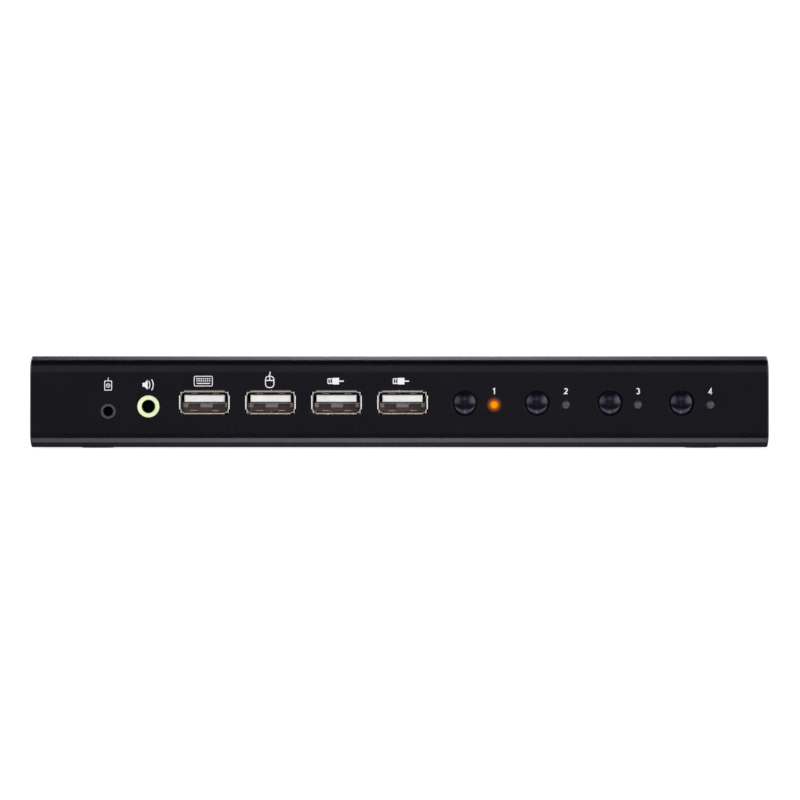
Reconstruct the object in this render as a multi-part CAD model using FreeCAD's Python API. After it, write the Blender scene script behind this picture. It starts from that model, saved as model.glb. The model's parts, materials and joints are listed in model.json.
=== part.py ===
"""A four-port desktop KVM switch.

A moulded front bezel, a folded steel cover, a base plate and a rear panel enclose one
circuit board that carries every socket, push button and indicator.

Frame: +Z is up, the front faces -Y, and +X is to the right seen from the front. The origin
is the centre of the footprint, on the surface that the feet stand on. Millimetres.
"""
import FreeCAD
import Part
import math
import os

Vector = FreeCAD.Vector
ALONG_X = Vector(1, 0, 0)
ALONG_Y = Vector(0, 1, 0)
ALONG_Z = Vector(0, 0, 1)

# ---- overall size ----
BODY_WIDTH = 202.0
BODY_HEIGHT = 25.0
OVERALL_DEPTH = 90.0        # from the button domes to the mouths of the rear sockets
TABLE_GAP = 0.3             # under the bezel's lower edge
BUTTON_PROUD = 0.8          # how far a button dome stands out of the bezel's flat face
SOCKET_PROUD = 0.8          # how far the rear sockets stand out of the rear panel

BOTTOM_Z = TABLE_GAP
TOP_Z = BOTTOM_Z + BODY_HEIGHT
MID_Z = (BOTTOM_Z + TOP_Z) / 2
FRONT_Y = -OVERALL_DEPTH / 2 + BUTTON_PROUD     # the bezel's flat face
REAR_Y = OVERALL_DEPTH / 2 - SOCKET_PROUD       # the rear panel's outer face
MOUTH_Y = OVERALL_DEPTH / 2                     # the mouths of the rear sockets

# ---- front bezel ----
BEZEL_DEPTH = 12.0
BEZEL_BACK_Y = FRONT_Y + BEZEL_DEPTH
BEZEL_WALL = 2.2
FACE_WALL = 2.4
TOP_FACETS = ((2.0, 14.0), (1.2, 40.0), (1.2, 65.0))        # (height, lean back in degrees)
BOTTOM_FACETS = ((1.3, 14.0), (1.2, 40.0), (1.3, 60.0))     # both from the flat face outward
CREASE_RADIUS = 0.5
END_ROUNDING = 0.5
TAB_X = 60.0                # the tabs and clips that reach back into the case
TAB_WIDTH = 10.0
TAB_ROOT = 6.0              # how far inside the bezel they start
TAB_REACH = 9.0
TAB_THICKNESS = 2.4
CLIP_REACH = 5.0
CLIP_THICKNESS = 1.6

# ---- sheet metal case ----
SHEET = 0.8
CASE_INSET = 0.4            # the case is this much smaller than the bezel on each side
CASE_HALF = BODY_WIDTH / 2 - CASE_INSET
CASE_TOP_Z = TOP_Z - CASE_INSET
BASE_Z = 1.5                # underside of the base plate
FLOOR_Z = BASE_Z + SHEET
BEND_RADIUS = 1.2
FLANGE_WIDTH = 7.0          # flanges folded in from the cover's lower edges
FLANGE_X = CASE_HALF - SHEET - FLANGE_WIDTH
GAP = 0.15                  # assembly gap between sheet metal parts
VENT_COUNT = 9
VENT_PITCH = 5.0
VENT_SIZE = (2.0, 9.0)      # width and height of one side vent
VENT_SHIFT = Vector(0, 6.0, 2.0)        # of the middle vent, from the middle of a side
BASE_SLOT_X = 40.0
BASE_SLOT_COUNT = 5
BASE_SLOT_PITCH = 4.0
BASE_SLOT_SIZE = (24.0, 1.6)
REAR_FLANGE = 9.0           # depth of the rear panel's flange along the base
WINDOW_PLAY = 0.2           # between a rear socket and the edge of its window

# ---- circuit board and fasteners ----
BOARD_TOP_Z = MID_Z - 4.2
BOARD_THICKNESS = 1.6
BOARD_BOTTOM_Z = BOARD_TOP_Z - BOARD_THICKNESS
BOARD_HALF = 97.0
BOARD_FRONT_Y = FRONT_Y + 3.2
BOARD_REAR_Y = REAR_Y - SHEET - 0.8
LEAD_END_Z = BOARD_BOTTOM_Z - 0.8       # how far soldered leads reach below the board
STANDOFF_PLACES = [(x, y) for x in (-86.0, 0.0, 86.0) for y in (-22.0, 22.0)]
STANDOFF_RADIUS = 2.75
SCREW_RADIUS = 1.5
TAP_CLEARANCE = 0.025       # around a shank in its tapped hole
HOLE_CLEARANCE = 0.15       # around a shank in a plain hole
SCREW_HEAD_RADIUS = 2.5
SCREW_HEAD_HEIGHT = 1.0
SCREW_RECESS = 0.6          # depth of the cross, as a share of the head's height
SCREW_CROSS = (2.75, 0.7)   # length and width of each slot of the cross
CASE_SCREW_LENGTH = 2.8
BOARD_SCREW_LENGTH = 4.8
COVER_SCREW_YS = (-24.0, 6.0, 38.0)
COVER_SCREW_INSET = 3.0     # from the free edge of the cover's flange
REAR_SCREW_XS = (-70.0, 0.0, 70.0)
REAR_SCREW_INSET = 4.5      # from the rear panel's outer face
BEZEL_SCREW_INSET = 4.0     # from the end of a bezel tab
FOOT_RADIUS = 5.0
FOOT_TAPER = 0.6
FOOT_PLACES = [(x, y) for x in (-84.0, 84.0) for y in (-26.0, 34.0)]

# ---- front sockets, seen from the front: x, and height on the face ----
USB_A_PLACES = [-53.3, -35.25, -17.2, 0.85]
USB_A_Z = MID_Z - 0.2
USB_A_OPENING = (12.5, 5.14)
USB_A_LENGTH = 14.0
USB_A_WINDOW = (14.0, 6.7)  # the bezel's window around a shell
USB_A_WINDOW_CORNER = 0.9
USB_A_TONGUE = (0.14, 2.04)         # height span of the tongue above the socket's axis
USB_A_TONGUE_WIDTH = 11.0
USB_A_TONGUE_BACK = 0.8             # how far the tongue's tip is behind the face
USB_A_TONGUE_CHAMFER = 0.25
USB_A_BLOCK_Y = FRONT_Y + 10.2      # front face of the insulator's rear block
USB_A_POCKET = (3.4, 1.5)           # width and depth of the rear block's two pockets
USB_A_POCKET_X = 3.4
USB_A_POCKET_Z = (-2.1, -0.4)       # from the socket's axis
USB_A_CONTACTS = (-3.5, -1.0, 1.0, 3.5)
USB_A_CONTACT_BACK = 1.8            # how far a contact's front end is behind the face
USB_A_LEG_PLACES = (4.0, 12.0)      # behind the face
USB_A_LEG_WIDTH = 1.2
USB_A_BLOCK_PLAY = 0.05             # between the insulator's block and the shell
SPRING_X = 3.0              # the shell's spring tabs, to either side of its axis
SPRING_WIDTH = 1.8
SPRING_WINDOW = 2.4
SPRING_REACH = (2.5, 8.0)   # behind the face, from a tab's free end to its root
SPRING_WINDOW_LEAD = 0.3    # how far a tab's window runs on past its free end
SPRING_PRESS_LOW = 0.45     # how far a tab's free end is bent inward
SPRING_PRESS_HIGH = 0.22
SHELL_SHEET = 0.3
LIP_LENGTH = 0.6            # the flared rim of the shell's mouth
LIP_FLARE = 0.33
LIP_CORNER = 0.7            # the open corners between the rims
CONTACT_SHEET = 0.2
CONTACT_WIDTH = 1.0
TAIL_WIDTH = 0.6            # of a contact's leg down to the board
TAIL_BEHIND = 0.3           # how far a front socket's contacts turn down behind its shell
COLLAR_PROUD = 0.15
COLLAR_RIM = 0.15           # chamfer around a collar
COLLAR_MOUTH = 0.2          # chamfer on its hole
COLLAR_PLAY = 0.1           # between a collar and the edge of its hole
COLLAR_DEPTH = 3.2          # how far a collar reaches behind the face
JACK_FRONT_Y = FRONT_Y + COLLAR_DEPTH
JACK_SHEET = 0.25           # a contact spring's thickness and width, and how far out its lead is
JACK_STRIP_WIDTH = 1.2
JACK_TAIL_OUT = 0.5
JACK_STRIP_PLAY = 0.08      # between a spring and the plug's path
JACK_STRIP_START = (1.0, 3.0)       # where the two springs begin, behind the housing's front
JACK_LEAD_BEHIND = 0.6      # how far behind the housing its leads go down
JACK_LEAD_SHEET = 0.3
JACK_CHAMBER_PLAY = 0.2     # how much wider a housing's chamber is than the collar's hole
JACK_BACK_WALL = 0.8
AUDIO_X = -68.6
AUDIO_Z = MID_Z - 1.3
AUDIO_BORE = 1.8
AUDIO_COLLAR = 3.05
AUDIO_LENGTH = 12.0
AUDIO_WIDTH = 6.6
AUDIO_ROOF = 2.9            # the housing's top above the jack's axis
REMOTE_X = -79.6
REMOTE_Z = MID_Z - 2.6
REMOTE_BORE = 1.3
REMOTE_COLLAR = 2.1
REMOTE_LENGTH = 10.5
REMOTE_WIDTH = 5.4
REMOTE_ROOF = 2.4
REMOTE_SINK = 0.2           # the housing's underside above the board's
REMOTE_EAR = (1.3, 5.0, 1.2)        # reach, length and thickness of an ear on the board
REMOTE_EAR_BACK = 9.0       # of an ear's middle behind the face
REMOTE_NOTCH = (5.8, 14.6)  # width, and reach behind the face, of the board's notch for it

# ---- push buttons and indicators ----
BUTTON_PLACES = [17.9, 37.6, 57.55, 77.1]
BUTTON_Z = MID_Z - 0.3
BUTTON_RADIUS = 3.2
BUTTON_HOLE_RADIUS = 3.5
BUTTON_HOLE_RIM = 0.2
BUTTON_TRAVEL = 0.5
DOME_HEIGHT = 1.3
DOME_ROUNDING = 0.35
FLANGE_Y = FRONT_Y + FACE_WALL + 0.15   # front of the flange that keeps a cap in
FLANGE_THICKNESS = 0.8
FLANGE_RADIUS = BUTTON_HOLE_RADIUS + 0.6
STEM_RADIUS = 2.0
STEM_END_Y = FRONT_Y + 6.5
BUTTON_NOTCH = (10.0, 4.8)  # width, and reach behind the face, of the board's notch for a cap
SWITCH_FRONT_Y = FRONT_Y + 8.0
SWITCH_SIZE = (6.2, 4.2, 6.2)
SWITCH_LEG = (0.6, 0.4)
SWITCH_LEG_X = 2.25
SWITCH_LEG_BACK = 3.0       # behind the switch's front
PLUNGER_RADIUS = 1.6
PLUNGER_PLAY = 0.08
PLUNGER_DEPTH = 1.4         # how far a plunger is inside its switch at rest
PLUNGER_SPARE = 0.3         # depth left behind a plunger that is fully pressed
LED_PLACES = [25.9, 45.5, 65.2, 85.0]
LED_Z = MID_Z - 0.85
LED_RADIUS = 1.2
LED_PLAY = 0.06
LED_PROUD = 0.25
LED_DOME = 0.55
LED_FLANGE_Y = FRONT_Y + 3.8
LED_FLANGE = (1.55, 1.0)    # radius and thickness
LED_HOLDER = (4.0, 2.3)     # width, and height above the indicator's axis
LED_HOLDER_FRONT = 0.4      # in front of the flange
LED_HOLDER_BACK = 4.4       # behind the front of the flange
LED_SEAT_PLAY = 0.05
LED_WIRE = 0.45
LED_WIRE_X = 0.64
LED_WIRE_REACH = 2.4        # from the flange back to where a wire turns down

# ---- rear sockets ----
PORT_PITCH = 38.5
FIRST_VIDEO_X = 50.0
VIDEO_TO_USB_B = 17.5
VIDEO_PLACES = [FIRST_VIDEO_X - i * PORT_PITCH for i in range(4)]
USB_B_PLACES = [x - VIDEO_TO_USB_B for x in VIDEO_PLACES]
CONSOLE_VIDEO_X = 72.0
ALL_VIDEO_PLACES = VIDEO_PLACES + [CONSOLE_VIDEO_X]
VIDEO_Z = BOARD_TOP_Z + 2.95
VIDEO_LENGTH = 11.5
VIDEO_OPENING = ((7.0, 2.27), (7.0, -0.6), (5.2, -2.27))    # right half, from the top edge down
VIDEO_BEVEL_SHARE = 0.4     # of the sheet's thickness, how far a lower corner moves out
VIDEO_SHEET = 0.4
VIDEO_LEG_BACKS = (3.0, 9.0)        # behind the mouth
VIDEO_LEG_WIDTH = 1.4
VIDEO_BLOCK_DEPTH = 8.5     # from the mouth to the insulator's rear block
VIDEO_BLOCK_PLAY = 0.05
VIDEO_WAFER = (11.4, 1.3)
VIDEO_WAFER_RISE = 0.15     # above the socket's middle
VIDEO_WAFER_BACK = 1.2      # behind the mouth
USB_B_SIZE = (12.0, 10.9)
USB_B_OPENING = (8.45, 7.78)
USB_B_LENGTH = 16.0
USB_B_Z = BOARD_TOP_Z + USB_B_SIZE[1] / 2
USB_B_CORNER = 1.6          # bevels on the opening's two upper corners
USB_B_SHEET = 0.35
USB_B_LEG_BACK = 6.0        # behind the mouth
USB_B_LEG_WIDTH = 2.0
USB_B_BLOCK_PLAY = 0.02
USB_B_CAVITY = 9.5          # depth of the plug's cavity
USB_B_TONGUE = (5.6, 3.2)
USB_B_TONGUE_BACK = 1.0     # behind the mouth
USB_B_CONTACT_X = 1.25
USB_B_CONTACT_BACK = 1.8    # behind the mouth
USB_B_TAIL_BEHIND = (1.1, 0.3)      # how far behind the shell the upper and lower leads go down
DC_X = 90.0
DC_SIZE = (9.0, 11.0)
DC_LENGTH = 14.2
DC_Z = BOARD_TOP_Z + 6.5
DC_HOLE_RADIUS = 3.15
DC_HOLE_DEPTH = 9.0
DC_PIN_RADIUS = 1.0
DC_PIN_LENGTH = 8.0
DC_PIN_SHOULDER = 1.4       # radius of the pin's root inside the housing
DC_PIN_ROUNDING = 0.3
DC_ROUNDING = 0.4           # of the housing's upper edges
DC_STRIP = (2.4, 0.4)       # width and thickness of the pin's lead

# ---- parts on the board: x, y, and the size of each package ----
CHIPS = [(8.0, 2.0, 14.0, 1.4), (-30.0, -6.0, 10.0, 1.2), (40.0, -8.0, 10.0, 1.2)]
DRIVER_CHIP = (9.0, 16.0, 5.0, 1.0)     # one beside each USB type B socket
CHIP_CHAMFER = 0.2
COILS = [(78.0, -6.0, 7.0, 4.0), (64.0, -8.0, 7.0, 4.0)]
CAPACITOR_PLACES = [(78.0, 10.0), (68.0, 10.0), (-58.0, 6.0), (-66.0, 6.0)]
CAPACITOR_BASE = (6.6, 1.0)             # side and height
CAPACITOR_CAN = (3.15, 6.7)             # radius and height
CRYSTAL_PLACES = [(-30.0, 8.0), (26.0, -2.0)]
CRYSTAL_SIZE = (10.5, 4.6, 3.5)


# ---- small helpers ----
def about(centre, width):
    """The low and high ends of a span that is centred on a value."""
    return (centre - width / 2, centre + width / 2)


def box(x_span, y_span, z_span):
    """A box from its spans along X, Y and Z."""
    low = Vector(x_span[0], y_span[0], z_span[0])
    return Part.makeBox(x_span[1] - low.x, y_span[1] - low.y, z_span[1] - low.z, low)


def post(x, y, z_span, radius):
    """A cylinder along Z."""
    return Part.makeCylinder(radius, z_span[1] - z_span[0], Vector(x, y, z_span[0]), ALONG_Z)


def rod(x, z, y_span, radius):
    """A cylinder along Y."""
    return Part.makeCylinder(radius, y_span[1] - y_span[0], Vector(x, y_span[0], z), ALONG_Y)


def cone(x, z, y_span, radii):
    """A cone along Y, from the first radius to the second."""
    return Part.makeCone(radii[0], radii[1], y_span[1] - y_span[0], Vector(x, y_span[0], z), ALONG_Y)


def rounded_face(points, radius):
    """A flat face through the points, with every corner rounded."""
    edges = []
    starts = []
    ends = []
    for i, corner in enumerate(points):
        before = (points[i - 1] - corner).normalize()
        after = (points[(i + 1) % len(points)] - corner).normalize()
        half_angle = before.getAngle(after) / 2
        cut = radius / math.tan(half_angle)
        to_middle = (before + after).normalize()
        middle = corner + to_middle * (radius / math.sin(half_angle) - radius)
        starts.append(corner + before * cut)
        ends.append(corner + after * cut)
        edges.append(Part.Arc(starts[i], middle, ends[i]).toShape())
    for i, end in enumerate(ends):
        edges.append(Part.makeLine(end, starts[(i + 1) % len(points)]))
    return Part.Face(Part.Wire(Part.sortEdges(edges)[0]))


def sharp_face(points):
    """A flat face through the points, with sharp corners."""
    return Part.Face(Part.makePolygon(points + points[:1]))


def rounded_bar(x_span, z_span, y_span, radius):
    """A bar along Y with a rounded rectangle for its section."""
    corners = [
        Vector(x_span[0], y_span[0], z_span[0]),
        Vector(x_span[1], y_span[0], z_span[0]),
        Vector(x_span[1], y_span[0], z_span[1]),
        Vector(x_span[0], y_span[0], z_span[1]),
    ]
    return rounded_face(corners, radius).extrude(ALONG_Y * (y_span[1] - y_span[0]))


def edges_of(shape, wanted):
    """The edges of a shape whose bounding boxes pass a test."""
    return [edge for edge in shape.Edges if wanted(edge.BoundBox)]


def joined(shapes):
    """Several touching solids as one."""
    return shapes[0].fuse(shapes[1:]).removeSplitter()


def group(shapes):
    """Several solids that stay separate, for one node."""
    return Part.makeCompound(shapes)


def pan_screw(x, y, seat_z, up, length):
    """A cross-head pan screw along Z; up is the direction from its head to its tip."""
    head_z = seat_z - up * SCREW_HEAD_HEIGHT
    head = post(x, y, sorted((seat_z, head_z)), SCREW_HEAD_RADIUS)
    shank = post(x, y, sorted((seat_z, seat_z + up * length)), SCREW_RADIUS)
    recess_z = sorted((head_z, head_z + up * SCREW_HEAD_HEIGHT * SCREW_RECESS))
    length_of_slot, width_of_slot = SCREW_CROSS
    recess = box(about(x, length_of_slot), about(y, width_of_slot), recess_z)
    crossing = box(about(x, width_of_slot), about(y, length_of_slot), recess_z)
    return head.fuse(shank).cut(recess).cut(crossing)


def screw_hole(x, y, z_span):
    """The tapped hole that a screw's shank sits in."""
    return post(x, y, z_span, SCREW_RADIUS + TAP_CLEARANCE)


def plain_hole(x, y, z_span):
    """The plain hole that a screw's shank passes through."""
    return post(x, y, z_span, SCREW_RADIUS + HOLE_CLEARANCE)


# ---- places of the screws that come up through the base plate ----
COVER_SCREWS = [(side * (FLANGE_X + COVER_SCREW_INSET), y) for side in (-1, 1) for y in COVER_SCREW_YS]
REAR_SCREWS = [(x, REAR_Y - REAR_SCREW_INSET) for x in REAR_SCREW_XS]
BEZEL_SCREWS = [(side * TAB_X, BEZEL_BACK_Y + TAB_REACH - BEZEL_SCREW_INSET) for side in (-1, 1)]


# ---- front bezel ----
def nose_points():
    """The bezel's section in the YZ plane, from its lower rear corner round to the upper one."""
    lower = []
    y = FRONT_Y
    z = BOTTOM_Z + sum(height for height, lean in BOTTOM_FACETS)
    lower.append((y, z))
    for height, lean in BOTTOM_FACETS:
        y += height * math.tan(math.radians(lean))
        z -= height
        lower.append((y, z))
    upper = []
    y = FRONT_Y
    z = TOP_Z - sum(height for height, lean in TOP_FACETS)
    upper.append((y, z))
    for height, lean in TOP_FACETS:
        y += height * math.tan(math.radians(lean))
        z += height
        upper.append((y, z))
    section = [(BEZEL_BACK_Y, BOTTOM_Z)] + lower[::-1] + upper + [(BEZEL_BACK_Y, TOP_Z)]
    return [Vector(-BODY_WIDTH / 2, y, z) for y, z in section]


def bezel_blank():
    """The bezel's outer form: the section run from side to side, with softened end edges."""
    solid = rounded_face(nose_points(), CREASE_RADIUS).extrude(ALONG_X * BODY_WIDTH)
    rims = []
    for edge in solid.Edges:
        place = edge.CenterOfMass
        on_an_end = abs(abs(place.x) - BODY_WIDTH / 2) < 1e-6
        at_the_back = place.y > BEZEL_BACK_Y - CREASE_RADIUS - 1e-6
        if on_an_end and not at_the_back:
            rims.append(edge)
    return solid.makeFillet(END_ROUNDING, rims)


def face_openings():
    """Everything that is cut out of the bezel's face."""
    through = (FRONT_Y - 1, FRONT_Y + FACE_WALL + 1)
    cutters = []
    width, height = USB_A_WINDOW
    for x in USB_A_PLACES:
        cutters.append(rounded_bar(about(x, width), about(USB_A_Z, height), through, USB_A_WINDOW_CORNER))
    cutters.append(rod(AUDIO_X, AUDIO_Z, through, AUDIO_COLLAR + COLLAR_PLAY))
    cutters.append(rod(REMOTE_X, REMOTE_Z, through, REMOTE_COLLAR + COLLAR_PLAY))
    for x in BUTTON_PLACES:
        cutters.append(rod(x, BUTTON_Z, through, BUTTON_HOLE_RADIUS))
        radii = (BUTTON_HOLE_RADIUS + BUTTON_HOLE_RIM, BUTTON_HOLE_RADIUS)
        cutters.append(cone(x, BUTTON_Z, (FRONT_Y, FRONT_Y + BUTTON_HOLE_RIM), radii))
    for x in LED_PLACES:
        cutters.append(rod(x, LED_Z, through, LED_RADIUS + LED_PLAY))
    return cutters


def front_bezel():
    """The moulded bezel: a shell, two screw tabs below and three clips above."""
    inside = box(
        about(0, BODY_WIDTH - 2 * BEZEL_WALL),
        (FRONT_Y + FACE_WALL, BEZEL_BACK_Y + 1),
        (BOTTOM_Z + BEZEL_WALL, TOP_Z - BEZEL_WALL),
    )
    shell = bezel_blank().cut(inside)
    additions = []
    for side in (-1, 1):
        span = about(side * TAB_X, TAB_WIDTH)
        reach = (BEZEL_BACK_Y - TAB_ROOT, BEZEL_BACK_Y + TAB_REACH)
        additions.append(box(span, reach, (FLOOR_Z, FLOOR_Z + TAB_THICKNESS)))
    clip_top = CASE_TOP_Z - SHEET
    for x in (-TAB_X, 0, TAB_X):
        reach = (BEZEL_BACK_Y - TAB_ROOT, BEZEL_BACK_Y + CLIP_REACH)
        additions.append(box(about(x, TAB_WIDTH), reach, (clip_top - CLIP_THICKNESS, clip_top)))
    shell = joined([shell] + additions)
    screws = [screw_hole(x, y, (BOTTOM_Z, FLOOR_Z + TAB_THICKNESS + 1)) for x, y in BEZEL_SCREWS]
    return shell.cut(face_openings() + screws)


# ---- sheet metal case ----
def channel_face(y, inset):
    """The cover's outer section, or its inner one when inset by the sheet's thickness."""
    half = CASE_HALF - inset
    top = CASE_TOP_Z - inset
    radius = BEND_RADIUS - inset
    bottom = BASE_Z - 5
    corners = [
        Vector(-half, y, bottom),
        Vector(half, y, bottom),
        Vector(half, y, top),
        Vector(-half, y, top),
    ]
    return rounded_face(corners, radius)


def side_vents():
    """Rows of upright slots through both sides of the cover."""
    cutters = []
    width, height = VENT_SIZE
    for side in (-1, 1):
        x_span = about(side * CASE_HALF, 4 * SHEET)
        for i in range(VENT_COUNT):
            y = (i - (VENT_COUNT - 1) / 2) * VENT_PITCH + VENT_SHIFT.y
            bar = box(x_span, about(y, width), about(MID_Z + VENT_SHIFT.z, height))
            across = edges_of(bar, lambda size: size.XLength > SHEET)
            cutters.append(bar.makeFillet(width / 2 - 0.01, across))
    return cutters


def top_cover():
    """The folded cover: top, both sides, and a flange turned in along each lower edge."""
    length = REAR_Y - BEZEL_BACK_Y
    outer = channel_face(BEZEL_BACK_Y, 0).extrude(ALONG_Y * length)
    inner = channel_face(BEZEL_BACK_Y, SHEET).extrude(ALONG_Y * length)
    trim = box(about(0, BODY_WIDTH), (BEZEL_BACK_Y - 1, REAR_Y + 1), (BASE_Z - 6, BASE_Z))
    parts = [outer.cut(inner).cut(trim)]
    for side in (-1, 1):
        x_span = sorted((side * FLANGE_X, side * (CASE_HALF - SHEET / 2)))
        y_span = (BEZEL_BACK_Y + 1, REAR_Y - SHEET - 1)
        parts.append(box(x_span, y_span, (FLOOR_Z, FLOOR_Z + SHEET)))
    cover = joined(parts)
    holes = [screw_hole(x, y, (BASE_Z, BASE_Z + 3 * SHEET)) for x, y in COVER_SCREWS]
    return cover.cut(holes + side_vents())


def base_plate():
    """The flat steel base between the cover's sides, with clearance holes for the screws."""
    half = CASE_HALF - SHEET - GAP
    plate = box((-half, half), (BEZEL_BACK_Y, REAR_Y), (BASE_Z, FLOOR_Z))
    through = (BASE_Z - 1, FLOOR_Z + 1)
    holes = [plain_hole(x, y, through) for x, y in COVER_SCREWS + REAR_SCREWS + BEZEL_SCREWS]
    length, width = BASE_SLOT_SIZE
    for side in (-1, 1):
        for i in range(BASE_SLOT_COUNT):
            y = (i - (BASE_SLOT_COUNT - 1) / 2) * BASE_SLOT_PITCH
            holes.append(box(about(side * BASE_SLOT_X, length), about(y, width), through))
    return plate.cut(holes)


def video_outline(grow, y):
    """The video socket's D-shaped outline in the XZ plane, grown outward by a margin."""
    right = []
    for x, z in VIDEO_OPENING:
        outward = (z > 1) - (z < -1)
        reach = grow if z > -1 else grow * VIDEO_BEVEL_SHARE
        right.append((x + reach, z + grow * outward))
    left = [(-x, z) for x, z in right[::-1]]
    return [Vector(x, y, z) for x, z in right + left]


def video_bar(x, grow, y_span):
    """A bar along Y with the video socket's outline."""
    bar = sharp_face(video_outline(grow, y_span[0])).extrude(ALONG_Y * (y_span[1] - y_span[0]))
    bar.translate(Vector(x, 0, VIDEO_Z))
    return bar


def rear_panel():
    """The rear panel, with a window for each socket and a flange that sits on the base."""
    half = CASE_HALF - SHEET - GAP
    wall = box((-half, half), (REAR_Y - SHEET, REAR_Y), (FLOOR_Z, CASE_TOP_Z - SHEET - GAP))
    foot = box(
        about(0, 2 * FLANGE_X - 2), (REAR_Y - REAR_FLANGE, REAR_Y - SHEET), (FLOOR_Z, FLOOR_Z + SHEET))
    panel = joined([wall, foot])
    through = (REAR_Y - 2 * SHEET, REAR_Y + 1)
    cutters = [video_bar(x, VIDEO_SHEET + WINDOW_PLAY, through) for x in ALL_VIDEO_PLACES]
    cutters += [usb_b_block(x, -WINDOW_PLAY, through) for x in USB_B_PLACES]
    width, height = DC_SIZE
    cutters.append(box(
        about(DC_X, width + 2 * WINDOW_PLAY), through,
        (BOARD_TOP_Z - WINDOW_PLAY, BOARD_TOP_Z + height + WINDOW_PLAY)))
    cutters += [screw_hole(x, y, (BASE_Z, BASE_Z + 3 * SHEET)) for x, y in REAR_SCREWS]
    return panel.cut(cutters)


def rubber_feet():
    """Four stick-on feet, slightly conical."""
    feet = []
    for x, y in FOOT_PLACES:
        feet.append(Part.makeCone(FOOT_RADIUS - FOOT_TAPER, FOOT_RADIUS, BASE_Z, Vector(x, y, 0), ALONG_Z))
    return group(feet)


def case_screws():
    """The screws that come up through the base plate."""
    places = COVER_SCREWS + REAR_SCREWS + BEZEL_SCREWS
    return group([pan_screw(x, y, BASE_Z, 1, CASE_SCREW_LENGTH) for x, y in places])


# ---- board, standoffs and screws ----
def board_standoffs():
    """Hexagonal tapped standoffs between the base plate and the board."""
    standoffs = []
    for x, y in STANDOFF_PLACES:
        corners = []
        for i in range(6):
            angle = math.radians(60 * i)
            spoke = Vector(math.cos(angle), math.sin(angle), 0) * STANDOFF_RADIUS
            corners.append(Vector(x, y, FLOOR_Z) + spoke)
        hexagon = sharp_face(corners).extrude(ALONG_Z * (BOARD_BOTTOM_Z - FLOOR_Z))
        standoffs.append(hexagon.cut(screw_hole(x, y, (FLOOR_Z - 1, BOARD_BOTTOM_Z + 1))))
    return group(standoffs)


def board_screws():
    """The screws that hold the board down on its standoffs."""
    return group([pan_screw(x, y, BOARD_TOP_Z, -1, BOARD_SCREW_LENGTH) for x, y in STANDOFF_PLACES])


def circuit_board(leads):
    """The circuit board, with a hole for every soldered lead, and notches along its front edge
    for the sunk jack and for the flanges of the button caps."""
    board = box(
        (-BOARD_HALF, BOARD_HALF), (BOARD_FRONT_Y, BOARD_REAR_Y), (BOARD_BOTTOM_Z, BOARD_TOP_Z))
    through = (BOARD_BOTTOM_Z - 1, BOARD_TOP_Z + 1)
    holes = [plain_hole(x, y, through) for x, y in STANDOFF_PLACES]
    notches = [(REMOTE_X, REMOTE_NOTCH)] + [(x, BUTTON_NOTCH) for x in BUTTON_PLACES]
    for x, (width, reach) in notches:
        holes.append(box(about(x, width), (BOARD_FRONT_Y - 1, FRONT_Y + reach), through))
    return board.cut(holes + leads)


# ---- front USB sockets ----
def lip_section(inner, outward, across):
    """The flared rim's section: a strip of sheet that leans outward toward the mouth."""
    profile = [
        (LIP_LENGTH, 0),
        (0, LIP_FLARE),
        (0, LIP_FLARE + SHELL_SHEET),
        (LIP_LENGTH, SHELL_SHEET),
    ]
    points = []
    for back, out in profile:
        points.append(across + outward * (inner + out) + ALONG_Y * (FRONT_Y + back))
    return sharp_face(points)


def usb_a_lips():
    """The four flared rims, centred on the socket's axis, with open corners between them."""
    half_width = USB_A_OPENING[0] / 2
    half_height = USB_A_OPENING[1] / 2
    lips = []
    for side in (-1, 1):
        start = ALONG_X * -(half_width - LIP_CORNER)
        strip = lip_section(half_height, ALONG_Z * side, start)
        lips.append(strip.extrude(ALONG_X * 2 * (half_width - LIP_CORNER)))
        start = ALONG_Z * -(half_height - LIP_CORNER)
        strip = lip_section(half_width, ALONG_X * side, start)
        lips.append(strip.extrude(ALONG_Z * 2 * (half_height - LIP_CORNER)))
    return lips


def spring_tab(x, side, inner, press, first_y, last_y):
    """A tongue of the shell's sheet, bent inward so that its free front end grips a plug."""
    points = []
    for y, out in ((last_y, 0), (last_y, SHELL_SHEET), (first_y, SHELL_SHEET - press), (first_y, -press)):
        points.append(Vector(x - SPRING_WIDTH / 2, y, side * (inner + out)))
    return sharp_face(points).extrude(ALONG_X * SPRING_WIDTH)


def usb_a_legs():
    """Where the shell's four legs go, relative to the socket's axis: x and y spans."""
    x = USB_A_OPENING[0] / 2
    spans = []
    for side in (-1, 1):
        x_span = sorted((side * x, side * (x + SHELL_SHEET)))
        for back in USB_A_LEG_PLACES:
            spans.append((x_span, about(FRONT_Y + back, USB_A_LEG_WIDTH)))
    return spans


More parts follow.
